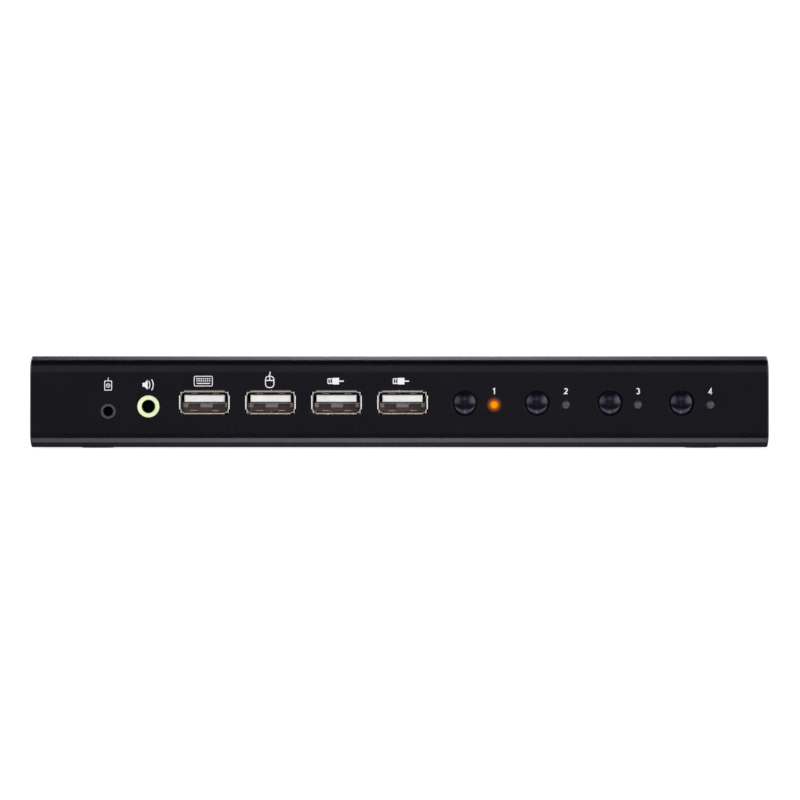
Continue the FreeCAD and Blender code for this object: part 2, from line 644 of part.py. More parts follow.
def usb_a_shell(x):
    """The plated steel shell of a USB type A socket."""
    width, height = USB_A_OPENING
    y_span = (FRONT_Y + LIP_LENGTH, FRONT_Y + USB_A_LENGTH)
    outer = box(about(0, width + 2 * SHELL_SHEET), y_span, about(0, height + 2 * SHELL_SHEET))
    inner = box(about(0, width), (y_span[0] - 1, y_span[1] + 1), about(0, height))
    windows = []
    tabs = []
    first_y, last_y = FRONT_Y + SPRING_REACH[0], FRONT_Y + SPRING_REACH[1]
    for tab_x in (-SPRING_X, SPRING_X):
        for side, press in ((-1, SPRING_PRESS_LOW), (1, SPRING_PRESS_HIGH)):
            z_span = sorted((side * (height / 2 - 0.1), side * (height / 2 + 1)))
            window_y = (first_y - SPRING_WINDOW_LEAD, last_y)
            windows.append(box(about(tab_x, SPRING_WINDOW), window_y, z_span))
            tabs.append(spring_tab(tab_x, side, height / 2, press, first_y, last_y))
    tube = outer.cut([inner] + windows)
    legs = []
    for x_span, leg_y in usb_a_legs():
        legs.append(box(x_span, leg_y, (LEAD_END_Z - USB_A_Z, -height / 2)))
    shell = joined([tube] + usb_a_lips() + tabs + legs)
    shell.translate(Vector(x, 0, USB_A_Z))
    return shell


def usb_a_contact_strips(x):
    """Four contacts: flat under the tongue, through the rear block and down to the board."""
    strips = []
    top = USB_A_Z + USB_A_TONGUE[0]
    bend_y = FRONT_Y + USB_A_LENGTH + TAIL_BEHIND
    flat_y = (FRONT_Y + USB_A_CONTACT_BACK, bend_y)
    for offset in USB_A_CONTACTS:
        flat = box(about(x + offset, CONTACT_WIDTH), flat_y, (top - CONTACT_SHEET, top))
        tail_z = (LEAD_END_Z, top - CONTACT_SHEET)
        tail = box(about(x + offset, TAIL_WIDTH), (bend_y - CONTACT_SHEET, bend_y), tail_z)
        strips.append(joined([flat, tail]))
    return strips


def usb_a_insulator(x):
    """The white insulator: a rear block with two pockets, and the tongue in front of it."""
    width, height = (side - 2 * USB_A_BLOCK_PLAY for side in USB_A_OPENING)
    block = box(about(x, width), (USB_A_BLOCK_Y, FRONT_Y + USB_A_LENGTH), about(USB_A_Z, height))
    z_span = (USB_A_Z + USB_A_TONGUE[0], USB_A_Z + USB_A_TONGUE[1])
    tip_y = FRONT_Y + USB_A_TONGUE_BACK
    tongue = box(about(x, USB_A_TONGUE_WIDTH), (tip_y, USB_A_BLOCK_Y), z_span)
    tip = edges_of(tongue, lambda size: size.YMax < tip_y + 0.1)
    tongue = tongue.makeChamfer(USB_A_TONGUE_CHAMFER, tip)
    pocket_width, pocket_depth = USB_A_POCKET
    pocket_z = (USB_A_Z + USB_A_POCKET_Z[0], USB_A_Z + USB_A_POCKET_Z[1])
    pockets = []
    for side in (-1, 1):
        x_span = about(x + side * USB_A_POCKET_X, pocket_width)
        pockets.append(box(x_span, (USB_A_BLOCK_Y - 1, USB_A_BLOCK_Y + pocket_depth), pocket_z))
    return joined([block, tongue]).cut(pockets + usb_a_contact_strips(x))


# ---- round jacks ----
def jack_collar(x, z, bore_radius, outer_radius):
    """The collar that shows in the bezel, with a chamfered hole for the plug."""
    mouth_y = FRONT_Y - COLLAR_PROUD
    sleeve = rod(x, z, (mouth_y, JACK_FRONT_Y), outer_radius)
    sleeve = sleeve.makeChamfer(COLLAR_RIM, edges_of(sleeve, lambda size: size.YMax < mouth_y + 0.01))
    bore = rod(x, z, (mouth_y - 1, JACK_FRONT_Y + 1), bore_radius)
    mouth = cone(x, z, (mouth_y, mouth_y + COLLAR_MOUTH), (bore_radius + COLLAR_MOUTH, bore_radius))
    return sleeve.cut([bore, mouth])


def jack_contact_strips(x, z, bore_radius, length):
    """Two contact springs beside the plug's path, each with a lead down to the board."""
    back_y = JACK_FRONT_Y + length + JACK_LEAD_BEHIND
    strips = []
    for side, start in zip((-1, 1), JACK_STRIP_START):
        near = x + side * (bore_radius + JACK_STRIP_PLAY)
        far = near + side * JACK_SHEET
        behind = (back_y - JACK_LEAD_SHEET, back_y)
        outer = (near + side * JACK_TAIL_OUT, far + side * JACK_TAIL_OUT)
        half = JACK_STRIP_WIDTH / 2
        strip = box(sorted((near, far)), (JACK_FRONT_Y + start, back_y), about(z, JACK_STRIP_WIDTH))
        link = box(sorted((near, outer[1])), behind, (z - half, z))
        tail = box(sorted(outer), behind, (LEAD_END_Z, z - half))
        strips.append(joined([strip, link, tail]))
    return strips


def jack_housing(x, z, bore_radius, length, width, z_span, strips):
    """The moulded housing behind a collar: a block with a blind chamber for the plug."""
    back_y = JACK_FRONT_Y + length
    body = box(about(x, width), (JACK_FRONT_Y, back_y), z_span)
    chamber_y = (JACK_FRONT_Y - 1, back_y - JACK_BACK_WALL)
    chamber = rod(x, z, chamber_y, bore_radius + JACK_CHAMBER_PLAY)
    return body.cut([chamber] + strips)


def audio_strips():
    """The contact springs of the audio jack."""
    return jack_contact_strips(AUDIO_X, AUDIO_Z, AUDIO_BORE, AUDIO_LENGTH)


def remote_strips():
    """The contact springs of the remote jack."""
    return jack_contact_strips(REMOTE_X, REMOTE_Z, REMOTE_BORE, REMOTE_LENGTH)


def audio_jack_housing():
    """The audio jack's housing stands on the board."""
    z_span = (BOARD_TOP_Z, AUDIO_Z + AUDIO_ROOF)
    return jack_housing(AUDIO_X, AUDIO_Z, AUDIO_BORE, AUDIO_LENGTH, AUDIO_WIDTH, z_span, audio_strips())


def remote_jack_housing():
    """The remote jack's housing sits in a notch of the board and rests on it by two ears."""
    z_span = (BOARD_BOTTOM_Z + REMOTE_SINK, REMOTE_Z + REMOTE_ROOF)
    body = jack_housing(
        REMOTE_X, REMOTE_Z, REMOTE_BORE, REMOTE_LENGTH, REMOTE_WIDTH, z_span, remote_strips())
    reach, ear_length, thickness = REMOTE_EAR
    ear_y = about(FRONT_Y + REMOTE_EAR_BACK, ear_length)
    ears = []
    for side in (-1, 1):
        root = REMOTE_X + side * REMOTE_WIDTH / 2
        x_span = sorted((root, root + side * reach))
        ears.append(box(x_span, ear_y, (BOARD_TOP_Z, BOARD_TOP_Z + thickness)))
    return joined([body] + ears)


# ---- push buttons ----
def domed_rod(x, z, y_span, radius, dome_height):
    """A cylinder along Y whose front end is a shallow dome."""
    dome_radius = (radius ** 2 + dome_height ** 2) / (2 * dome_height)
    ball = Part.makeSphere(dome_radius, Vector(x, y_span[0] + dome_radius, z))
    front = rod(x, z, (y_span[0], y_span[0] + dome_height), radius).common(ball)
    return joined([front, rod(x, z, (y_span[0] + dome_height, y_span[1]), radius)])


def button_cap(x):
    """A domed cap, a flange that keeps it behind the face, and a stem to the switch."""
    tip_y = FRONT_Y - BUTTON_PROUD
    head = domed_rod(x, BUTTON_Z, (tip_y, FLANGE_Y), BUTTON_RADIUS, DOME_HEIGHT)
    rim = edges_of(head, lambda size: abs(size.YMax - tip_y - DOME_HEIGHT) < 0.01)
    head = head.makeFillet(DOME_ROUNDING, rim)
    flange_back = FLANGE_Y + FLANGE_THICKNESS
    flange = rod(x, BUTTON_Z, (FLANGE_Y, flange_back), FLANGE_RADIUS)
    stem = rod(x, BUTTON_Z, (flange_back, STEM_END_Y), STEM_RADIUS)
    return joined([head, flange, stem])


def switch_plunger(x):
    """The plunger of the switch behind a button."""
    return rod(x, BUTTON_Z, (STEM_END_Y, SWITCH_FRONT_Y + PLUNGER_DEPTH), PLUNGER_RADIUS)


def tact_switch(x):
    """A right-angle push switch: its body, front plate and two soldered legs."""
    width, depth, height = SWITCH_SIZE
    body = box(
        about(x, width), (SWITCH_FRONT_Y, SWITCH_FRONT_Y + depth), (BOARD_TOP_Z, BUTTON_Z + height / 2))
    bore_end = SWITCH_FRONT_Y + PLUNGER_DEPTH + BUTTON_TRAVEL + PLUNGER_SPARE
    bore = rod(x, BUTTON_Z, (SWITCH_FRONT_Y - 1, bore_end), PLUNGER_RADIUS + PLUNGER_PLAY)
    leg_y = about(SWITCH_FRONT_Y + SWITCH_LEG_BACK, SWITCH_LEG[1])
    legs = []
    for side in (-1, 1):
        legs.append(box(
            about(x + side * SWITCH_LEG_X, SWITCH_LEG[0]), leg_y, (LEAD_END_Z, BOARD_TOP_Z)))
    return joined([body.cut(bore)] + legs)


# ---- indicators ----
def led(x):
    """A round indicator: domed lens with a base flange."""
    barrel = domed_rod(x, LED_Z, (FRONT_Y - LED_PROUD, LED_FLANGE_Y), LED_RADIUS, LED_DOME)
    radius, thickness = LED_FLANGE
    flange = rod(x, LED_Z, (LED_FLANGE_Y, LED_FLANGE_Y + thickness), radius)
    return joined([barrel, flange])


def led_wires(x):
    """An indicator's two leads, back from its flange and down to the board."""
    wires = []
    start_y = LED_FLANGE_Y + LED_FLANGE[1]
    end_y = start_y + LED_WIRE_REACH
    for side in (-1, 1):
        x_span = about(x + side * LED_WIRE_X, LED_WIRE)
        back = box(x_span, (start_y, end_y), about(LED_Z, LED_WIRE))
        down = box(x_span, (end_y - LED_WIRE, end_y), (LEAD_END_Z, LED_Z - LED_WIRE / 2))
        wires.append(joined([back, down]))
    return wires


def led_holder(x):
    """The black block that holds an indicator at the height of its hole."""
    width, height = LED_HOLDER
    y_span = (LED_FLANGE_Y - LED_HOLDER_FRONT, LED_FLANGE_Y + LED_HOLDER_BACK)
    block = box(about(x, width), y_span, (BOARD_TOP_Z, LED_Z + height))
    radius, thickness = LED_FLANGE
    seat = rod(x, LED_Z, (FRONT_Y, LED_FLANGE_Y + thickness), radius + LED_SEAT_PLAY)
    return block.cut([seat] + led_wires(x))


# ---- rear video sockets ----
def video_legs(x):
    """The four legs of a video socket's shell."""
    legs = []
    wall = VIDEO_OPENING[0][0]
    for side in (-1, 1):
        x_span = sorted((x + side * wall, x + side * (wall + VIDEO_SHEET)))
        for back in VIDEO_LEG_BACKS:
            legs.append(box(x_span, about(MOUTH_Y - back, VIDEO_LEG_WIDTH), (LEAD_END_Z, VIDEO_Z)))
    return legs


def video_shell(x):
    """The plated shell of a digital video socket, open at both ends, and its legs."""
    y_span = (MOUTH_Y - VIDEO_LENGTH, MOUTH_Y)
    outer = video_bar(x, VIDEO_SHEET, y_span)
    inner = video_bar(x, 0, (y_span[0] - 1, y_span[1] + 1))
    legs = [leg.cut(inner) for leg in video_legs(x)]
    return joined([outer.cut(inner)] + legs)


def video_insulator(x):
    """The dark insulator: a rear block and the wafer that carries the contacts."""
    block_y = MOUTH_Y - VIDEO_BLOCK_DEPTH
    block = video_bar(x, -VIDEO_BLOCK_PLAY, (MOUTH_Y - VIDEO_LENGTH, block_y))
    width, height = VIDEO_WAFER
    z_span = about(VIDEO_Z + VIDEO_WAFER_RISE, height)
    wafer = box(about(x, width), (block_y, MOUTH_Y - VIDEO_WAFER_BACK), z_span)
    return joined([block, wafer])


# ---- rear USB type B sockets ----
def usb_b_opening(x, y_span):
    """The type B opening: a near-square with two bevelled upper corners."""
    half, height = USB_B_OPENING[0] / 2, USB_B_OPENING[1]
    low, high = USB_B_Z - height / 2, USB_B_Z + height / 2
    corners = [
        Vector(x - half, y_span[0], low),
        Vector(x + half, y_span[0], low),
        Vector(x + half, y_span[0], high - USB_B_CORNER),
        Vector(x + half - USB_B_CORNER, y_span[0], high),
        Vector(x - half + USB_B_CORNER, y_span[0], high),
        Vector(x - half, y_span[0], high - USB_B_CORNER),
    ]
    return sharp_face(corners).extrude(ALONG_Y * (y_span[1] - y_span[0]))


def usb_b_block(x, margin, y_span):
    """The socket's outer block, shrunk by a margin."""
    width, height = USB_B_SIZE
    return box(about(x, width - 2 * margin), y_span, about(USB_B_Z, height - 2 * margin))


def usb_b_shell(x):
    """The plated shell: a tube with a front plate around the opening, and two legs."""
    back_y = MOUTH_Y - USB_B_LENGTH
    tube = usb_b_block(x, 0, (back_y, MOUTH_Y))
    hollow = usb_b_block(x, USB_B_SHEET, (back_y - 1, MOUTH_Y - USB_B_SHEET))
    tube = tube.cut([hollow, usb_b_opening(x, (MOUTH_Y - 1, MOUTH_Y + 1))])
    legs = []
    for side in (-1, 1):
        wall = x + side * USB_B_SIZE[0] / 2
        x_span = sorted((wall, wall - side * USB_B_SHEET))
        leg_y = about(MOUTH_Y - USB_B_LEG_BACK, USB_B_LEG_WIDTH)
        legs.append(box(x_span, leg_y, (LEAD_END_Z, BOARD_TOP_Z)))
    return joined([tube] + legs)


def usb_b_insulator(x):
    """The moulded insulator that fills the shell around the plug's cavity, and its tongue."""
    margin = USB_B_SHEET + USB_B_BLOCK_PLAY
    block = usb_b_block(x, margin, (MOUTH_Y - USB_B_LENGTH, MOUTH_Y - margin))
    cavity = usb_b_opening(x, (MOUTH_Y - USB_B_CAVITY, MOUTH_Y + 1))
    width, height = USB_B_TONGUE
    tongue_y = (MOUTH_Y - USB_B_CAVITY, MOUTH_Y - USB_B_TONGUE_BACK)
    tongue = box(about(x, width), tongue_y, about(USB_B_Z, height))
    return joined([block.cut(cavity), tongue]).cut(usb_b_contact_strips(x))


def usb_b_contact_strips(x):
    """Two contacts on each face of the tongue, with leads down to the board."""
    strips = []
    for side, behind in zip((1, -1), USB_B_TAIL_BEHIND):
        surface = USB_B_Z + side * USB_B_TONGUE[1] / 2
        z_span = sorted((surface, surface - side * CONTACT_SHEET))
        back_y = MOUTH_Y - USB_B_LENGTH - behind
        for offset in (-USB_B_CONTACT_X, USB_B_CONTACT_X):
            flat = box(about(x + offset, CONTACT_WIDTH), (back_y, MOUTH_Y - USB_B_CONTACT_BACK), z_span)
            tail_y = (back_y, back_y + CONTACT_SHEET)
            tail = box(about(x + offset, TAIL_WIDTH), tail_y, (LEAD_END_Z, z_span[0]))
            strips.append(joined([flat, tail]))
    return strips


# ---- DC power socket ----
def dc_contact_lead():
    """The strip that joins the centre pin to the board behind the housing."""
    width, thickness = DC_STRIP
    back_y = MOUTH_Y - DC_LENGTH
    return box(about(DC_X, width), (back_y - thickness, back_y), (LEAD_END_Z, DC_Z + DC_PIN_RADIUS))


def dc_jack_pin():
    """The centre pin, with a rounded tip, on a thicker root that is held by the housing."""
    root_y = MOUTH_Y - DC_HOLE_DEPTH
    tip_y = root_y + DC_PIN_LENGTH
    pin = rod(DC_X, DC_Z, (root_y, tip_y), DC_PIN_RADIUS)
    pin = pin.makeFillet(DC_PIN_ROUNDING, edges_of(pin, lambda size: size.YMin > tip_y - 0.01))
    root = rod(DC_X, DC_Z, (MOUTH_Y - DC_LENGTH, root_y), DC_PIN_SHOULDER)
    return joined([pin, root, dc_contact_lead()])


def dc_jack_housing():
    """The moulded housing around the blind socket."""
    width, height = DC_SIZE
    body = box(
        about(DC_X, width), (MOUTH_Y - DC_LENGTH, MOUTH_Y), (BOARD_TOP_Z, BOARD_TOP_Z + height))
    upper = edges_of(body, lambda size: size.YLength > 1 and size.ZMin > BOARD_TOP_Z + 1)
    body = body.makeFillet(DC_ROUNDING, upper)
    hole = rod(DC_X, DC_Z, (MOUTH_Y - DC_HOLE_DEPTH, MOUTH_Y + 1), DC_HOLE_RADIUS)
    return body.cut([hole, dc_jack_pin()])


# ---- parts on the board ----
def chip(x, y, side, height):
    """A flat square controller package."""
    top_z = BOARD_TOP_Z + height
    body = box(about(x, side), about(y, side), (BOARD_TOP_Z, top_z))
    return body.makeChamfer(CHIP_CHAMFER, edges_of(body, lambda size: size.ZMin > top_z - 0.01))


def controller_chips():
    """The video switch, the USB hub, the keyboard emulator and the port drivers."""
    chips = [chip(*package) for package in CHIPS]
    beside, y, side, height = DRIVER_CHIP
    for x in USB_B_PLACES:
        chips.append(chip(x + beside, y, side, height))
    return group(chips)


def capacitors():
    """Electrolytic cans on their square bases."""
    cans = []
    side, base_height = CAPACITOR_BASE
    radius, can_height = CAPACITOR_CAN
    can_z = BOARD_TOP_Z + base_height
    for x, y in CAPACITOR_PLACES:
        base = box(about(x, side), about(y, side), (BOARD_TOP_Z, can_z))
        cans.append(joined([base, post(x, y, (can_z, can_z + can_height), radius)]))
    return group(cans)


def power_coils():
    """Moulded coils of the voltage converters."""
    return group([chip(*package) for package in COILS])


def crystals():
    """Low metal-can crystals beside the controllers."""
    return group([rounded_can(x, y) for x, y in CRYSTAL_PLACES])


def rounded_can(x, y):
    """One crystal can: an oblong with full round ends."""
    length, width, height = CRYSTAL_SIZE
    body = box(about(x, length), about(y, width), (BOARD_TOP_Z, BOARD_TOP_Z + height))
    return body.makeFillet(width / 2 - 0.01, edges_of(body, lambda size: size.ZLength > 1))


# ---- the whole model ----
def soldered_leads():
    """Every solid that passes down through the circuit board."""
    leads = []
    for x in USB_A_PLACES:
        leads.append(usb_a_shell(x))
        leads += usb_a_contact_strips(x)
    leads += audio_strips() + remote_strips()
    leads += [tact_switch(x) for x in BUTTON_PLACES]
    for x in LED_PLACES:
        leads += led_wires(x)
    for x in ALL_VIDEO_PLACES:
        leads.append(video_shell(x))
    for x in USB_B_PLACES:
        leads.append(usb_b_shell(x))
        leads += usb_b_contact_strips(x)
    leads.append(dc_contact_lead())
    return leads


def numbered(name, make, places):
    """One node for each place: name_1, name_2 and so on."""
    return {f"{name}_{i + 1}": make(x) for i, x in enumerate(places)}


def all_nodes():
    """Every sub-part by its node name."""
    nodes = {
        "front_bezel": front_bezel(),
        "top_cover": top_cover(),
        "base_plate": base_plate(),
        "rear_panel": rear_panel(),
        "rubber_feet": rubber_feet(),
        "case_screws": case_screws(),
        "circuit_board": circuit_board(soldered_leads()),
        "board_standoffs": board_standoffs(),
        "board_screws": board_screws(),
        "audio_jack_collar": jack_collar(AUDIO_X, AUDIO_Z, AUDIO_BORE, AUDIO_COLLAR),
        "audio_jack_housing": audio_jack_housing(),
        "remote_jack_collar": jack_collar(REMOTE_X, REMOTE_Z, REMOTE_BORE, REMOTE_COLLAR),
        "remote_jack_housing": remote_jack_housing(),
        "jack_contacts": group(audio_strips() + remote_strips()),
        "led_holders": group([led_holder(x) for x in LED_PLACES]),
        "led_leads": group([wire for x in LED_PLACES for wire in led_wires(x)]),
        "usb_a_contacts": group([s for x in USB_A_PLACES for s in usb_a_contact_strips(x)]),
        "video_shell_console": video_shell(CONSOLE_VIDEO_X),
        "video_insulators": group([video_insulator(x) for x in ALL_VIDEO_PLACES]),
        "usb_b_insulators": group([usb_b_insulator(x) for x in USB_B_PLACES]),
        "usb_b_contacts": group([s for x in USB_B_PLACES for s in usb_b_contact_strips(x)]),
        "dc_jack_housing": dc_jack_housing(),
        "dc_jack_pin": dc_jack_pin(),
        "controller_chips": controller_chips(),
        "capacitors": capacitors(),
        "power_coils": power_coils(),
        "crystals": crystals(),
    }
    nodes.update(numbered("usb_a_shell", usb_a_shell, USB_A_PLACES))
    nodes.update(numbered("usb_a_insulator", usb_a_insulator, USB_A_PLACES))
    nodes.update(numbered("button_cap", button_cap, BUTTON_PLACES))
    nodes.update(numbered("switch_plunger", switch_plunger, BUTTON_PLACES))
    nodes.update(numbered("tact_switch", tact_switch, BUTTON_PLACES))
    nodes.update(numbered("led", led, LED_PLACES))
    nodes.update(numbered("video_shell", video_shell, VIDEO_PLACES))
    nodes.update(numbered("usb_b_shell", usb_b_shell, USB_B_PLACES))
    return nodes


def main():
    """Writes one file for each node."""
    os.makedirs("parts", exist_ok=True)
    for name, shape in all_nodes().items():
        shape.exportStep(f"parts/{name}.step")


main()
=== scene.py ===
"""The looks of a four-port desktop KVM switch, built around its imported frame.

Every CAD node keeps its mesh and gets a procedural material. Added here are the printed
legends, the contacts of the rear video sockets and the studio around the object.
Metres; +Z is up, the front faces -Y, and +X is to the right seen from the front.
"""
import json
import math

import bmesh
import bpy
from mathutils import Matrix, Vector


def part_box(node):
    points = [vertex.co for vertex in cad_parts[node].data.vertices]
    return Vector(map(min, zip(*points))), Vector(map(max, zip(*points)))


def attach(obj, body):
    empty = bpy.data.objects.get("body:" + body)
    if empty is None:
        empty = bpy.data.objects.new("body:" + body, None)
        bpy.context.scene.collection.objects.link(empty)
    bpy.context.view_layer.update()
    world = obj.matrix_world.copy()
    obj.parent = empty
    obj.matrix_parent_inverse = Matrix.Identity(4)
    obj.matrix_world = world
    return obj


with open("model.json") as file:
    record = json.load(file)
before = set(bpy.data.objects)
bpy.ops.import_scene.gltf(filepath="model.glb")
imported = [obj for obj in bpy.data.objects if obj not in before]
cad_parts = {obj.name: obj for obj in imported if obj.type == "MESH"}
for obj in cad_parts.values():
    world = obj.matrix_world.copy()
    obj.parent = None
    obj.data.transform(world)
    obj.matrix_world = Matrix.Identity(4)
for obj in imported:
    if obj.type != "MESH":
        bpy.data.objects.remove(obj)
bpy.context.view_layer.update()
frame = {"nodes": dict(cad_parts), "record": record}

MM = 0.001


def middle(node):
    """The centre of a CAD node's box."""
    low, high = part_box(node)
    return (low + high) / 2


# ---- places that come from the frame ----
FACE_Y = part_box("front_bezel")[0].y         # the bezel's flat face
REAR_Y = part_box("rear_panel")[1].y          # the rear panel's outer face
BEZEL_MIDDLE = middle("front_bezel")
LED_NODES = ["led_1", "led_2", "led_3", "led_4"]
VIDEO_NODES = ["video_shell_1", "video_shell_2", "video_shell_3", "video_shell_4"]
USB_A_NODES = ["usb_a_shell_1", "usb_a_shell_2", "usb_a_shell_3", "usb_a_shell_4"]
USB_B_NODES = ["usb_b_shell_1", "usb_b_shell_2", "usb_b_shell_3", "usb_b_shell_4"]
CONSOLE_NODE = "video_shell_console"

# ---- view ----
CAMERA_DISTANCE = 0.9       # from the flat face
VIEW_WIDTH = 0.2186         # what the picture spans at the flat face
CAMERA_SIDE = 0.15 * MM     # right of the object's middle
CAMERA_RISE = 0.45 * MM     # above the bezel's middle
SENSOR_MM = 36.0

# ---- light; radiance is 1 where a white surface just reaches full white ----
FLOOR_HALF = 6.0            # half the floor's width
FLOOR_GREY = 0.82
FLOOR_GLOW = 0.75
FILL = 0.36
BACKDROP = 1.2
ROOM_TINT = (1.0, 0.97, 1.1)
FRONT_BANDS = [             # degrees above the front horizon, and radiance
    (-54, 0.0), (-30, 0.03), (-14, 0.165), (0, 0.2), (16, 0.22), (27, 0.9), (36, 0.45), (52, 0.03),
    (104, 0.0)]
FRONT_ENDS = [              # how much of a band is left, by how far to the side it is seen
    (0.03, 1.0), (0.12, 0.75), (0.3, 0.35), (0.6, 0.3)]
OTHER_BANDS = [             # the same degrees, below and behind the object
    (-180, 0.3), (-135, 0.42), (-96, 0.34), (-88, 4.8), (-78, 5.8), (-60, 5.8), (-50, 0.15), (-30, 0.0),
    (100, 0.0), (112, 0.15), (124, 0.55), (134, 2.0), (146, 7.0), (162, 8.5), (172, 0.8), (180, 0.3)]
OTHER_ENDS = [(0.0, 1.0), (0.05, 0.68), (0.09, 0.15), (0.14, 0.0), (0.25, 0.22), (0.6, 0.3)]
PANEL_EDGE = (0.3, 0.85)    # how far to the side the side panels begin
PANEL_HEIGHT = (0.12, 0.6)  # where their upper and lower ends fade out
PANEL_RISE = 0.3            # of their middle above the horizon
PANEL_LEFT = 1.0
PANEL_RIGHT = 1.5
BAND_PEAK = 9.0             # above every level in the two lists of bands
SOFTBOXES = [               # name, azimuth, elevation, distance, size and radiance
    ("softbox_left", -55, 22, 0.8, (0.3, 0.4), 1.9),
    ("softbox_right", 55, 22, 0.8, (0.3, 0.4), 1.9),
    ("softbox_front", 6, 5, 1.4, (0.5, 0.4), 6.8),
]

# ---- printed legends; what is drawn is in millimetres ----
INK_THICKNESS = 0.02 * MM
INK_OVERLAP = 0.15          # keeps shapes that cross from lying at one height
INK_LEVELS = 5              # how many heights there are
MITRE_LIMIT = 0.4           # keeps a sharp corner of a line from running out far
LINE = 0.26                 # width of a printed line
NUMERAL_HEIGHT = 1.65
NUMERAL_LINE = 0.29
NUMERAL_RISE = 3.72 * MM    # of a numeral above its indicator
REAR_NUMERAL_HEIGHT = 1.15 * NUMERAL_HEIGHT
BRACKET_RISE = 3.3 * MM     # of a bracket above the rear sockets
BRACKET_OVERHANG = 4.0      # past the middles of its two sockets
BRACKET_DROP = 2.0          # of its two ends
BRACKET_GAP = 1.6           # from its numeral's middle to its inner ends
BRACKET_LINE = 0.28
SCREEN_RISE = 1.2 * MM      # of the screen pictogram above the rear sockets
POLARITY_RISE = 3.5 * MM    # of the polarity mark above the rear sockets

# ---- materials ----
FACING = (0.85, 0.95)       # the front-to-rear part of a normal, from turned aside to facing
BEVEL_SAMPLES = 6
BEZEL_FACETS = (6 * MM, 8 * MM)     # from the bezel's middle to where edges soften, and to the softest
BEZEL_EDGE = 0.3 * MM               # radius of the bezel's edges nearer the middle
BEZEL_EDGE_ABOVE = 1.1 * MM         # of the softest edges above
BEZEL_EDGE_BELOW = 0.5 * MM         # and of the softest below
BEZEL_PAINTED_GLOW = (1.1 * MM, 2.4 * MM)   # the painted orange glow about the lit indicator, from full to none
LIT_RIM = (0.5 * MM, 1.5 * MM)      # a lit lens, from its core's colour to its rim's
DARK_RIM = (0.1 * MM, 1.2 * MM)     # and a dark one
LIME_RIM = (2.92 * MM, 3.06 * MM)   # the painted shade round the lime collar, from none to full

# ---- USB type A sockets ----
SOCKET_BLOCK = 10.2 * MM    # from the flat face back to the insulator's rear block
BLOCK_SHADOW_LINE = -0.25 * MM      # from the bezel's middle down to the foot of the painted shadow line round the tongue
BLOCK_FLOOR_SHADE = -1.5 * MM     # and to the top of the block's painted brown shade
SHELL_SIDE = (6.3 * MM, 6.5 * MM)   # from a shell's middle to where the painted highlight on its sides begins

# ---- video socket contacts ----
WAFER_DROP = 2.52 * MM      # from the top of a video shell to the middle of its wafer
WAFER_HALF = 0.65 * MM
CONTACT_PITCH = 1.0 * MM
CONTACT_SIZE = (0.3 * MM, 6.4 * MM, 0.05 * MM)
CONTACT_ROWS = ((1, 10), (-1, 9))   # the side of the wafer, and how many
CONTACT_SETBACK = 1.9 * MM  # from the shell's mouth
CONTACT_BEVEL = 0.3         # of the smallest side


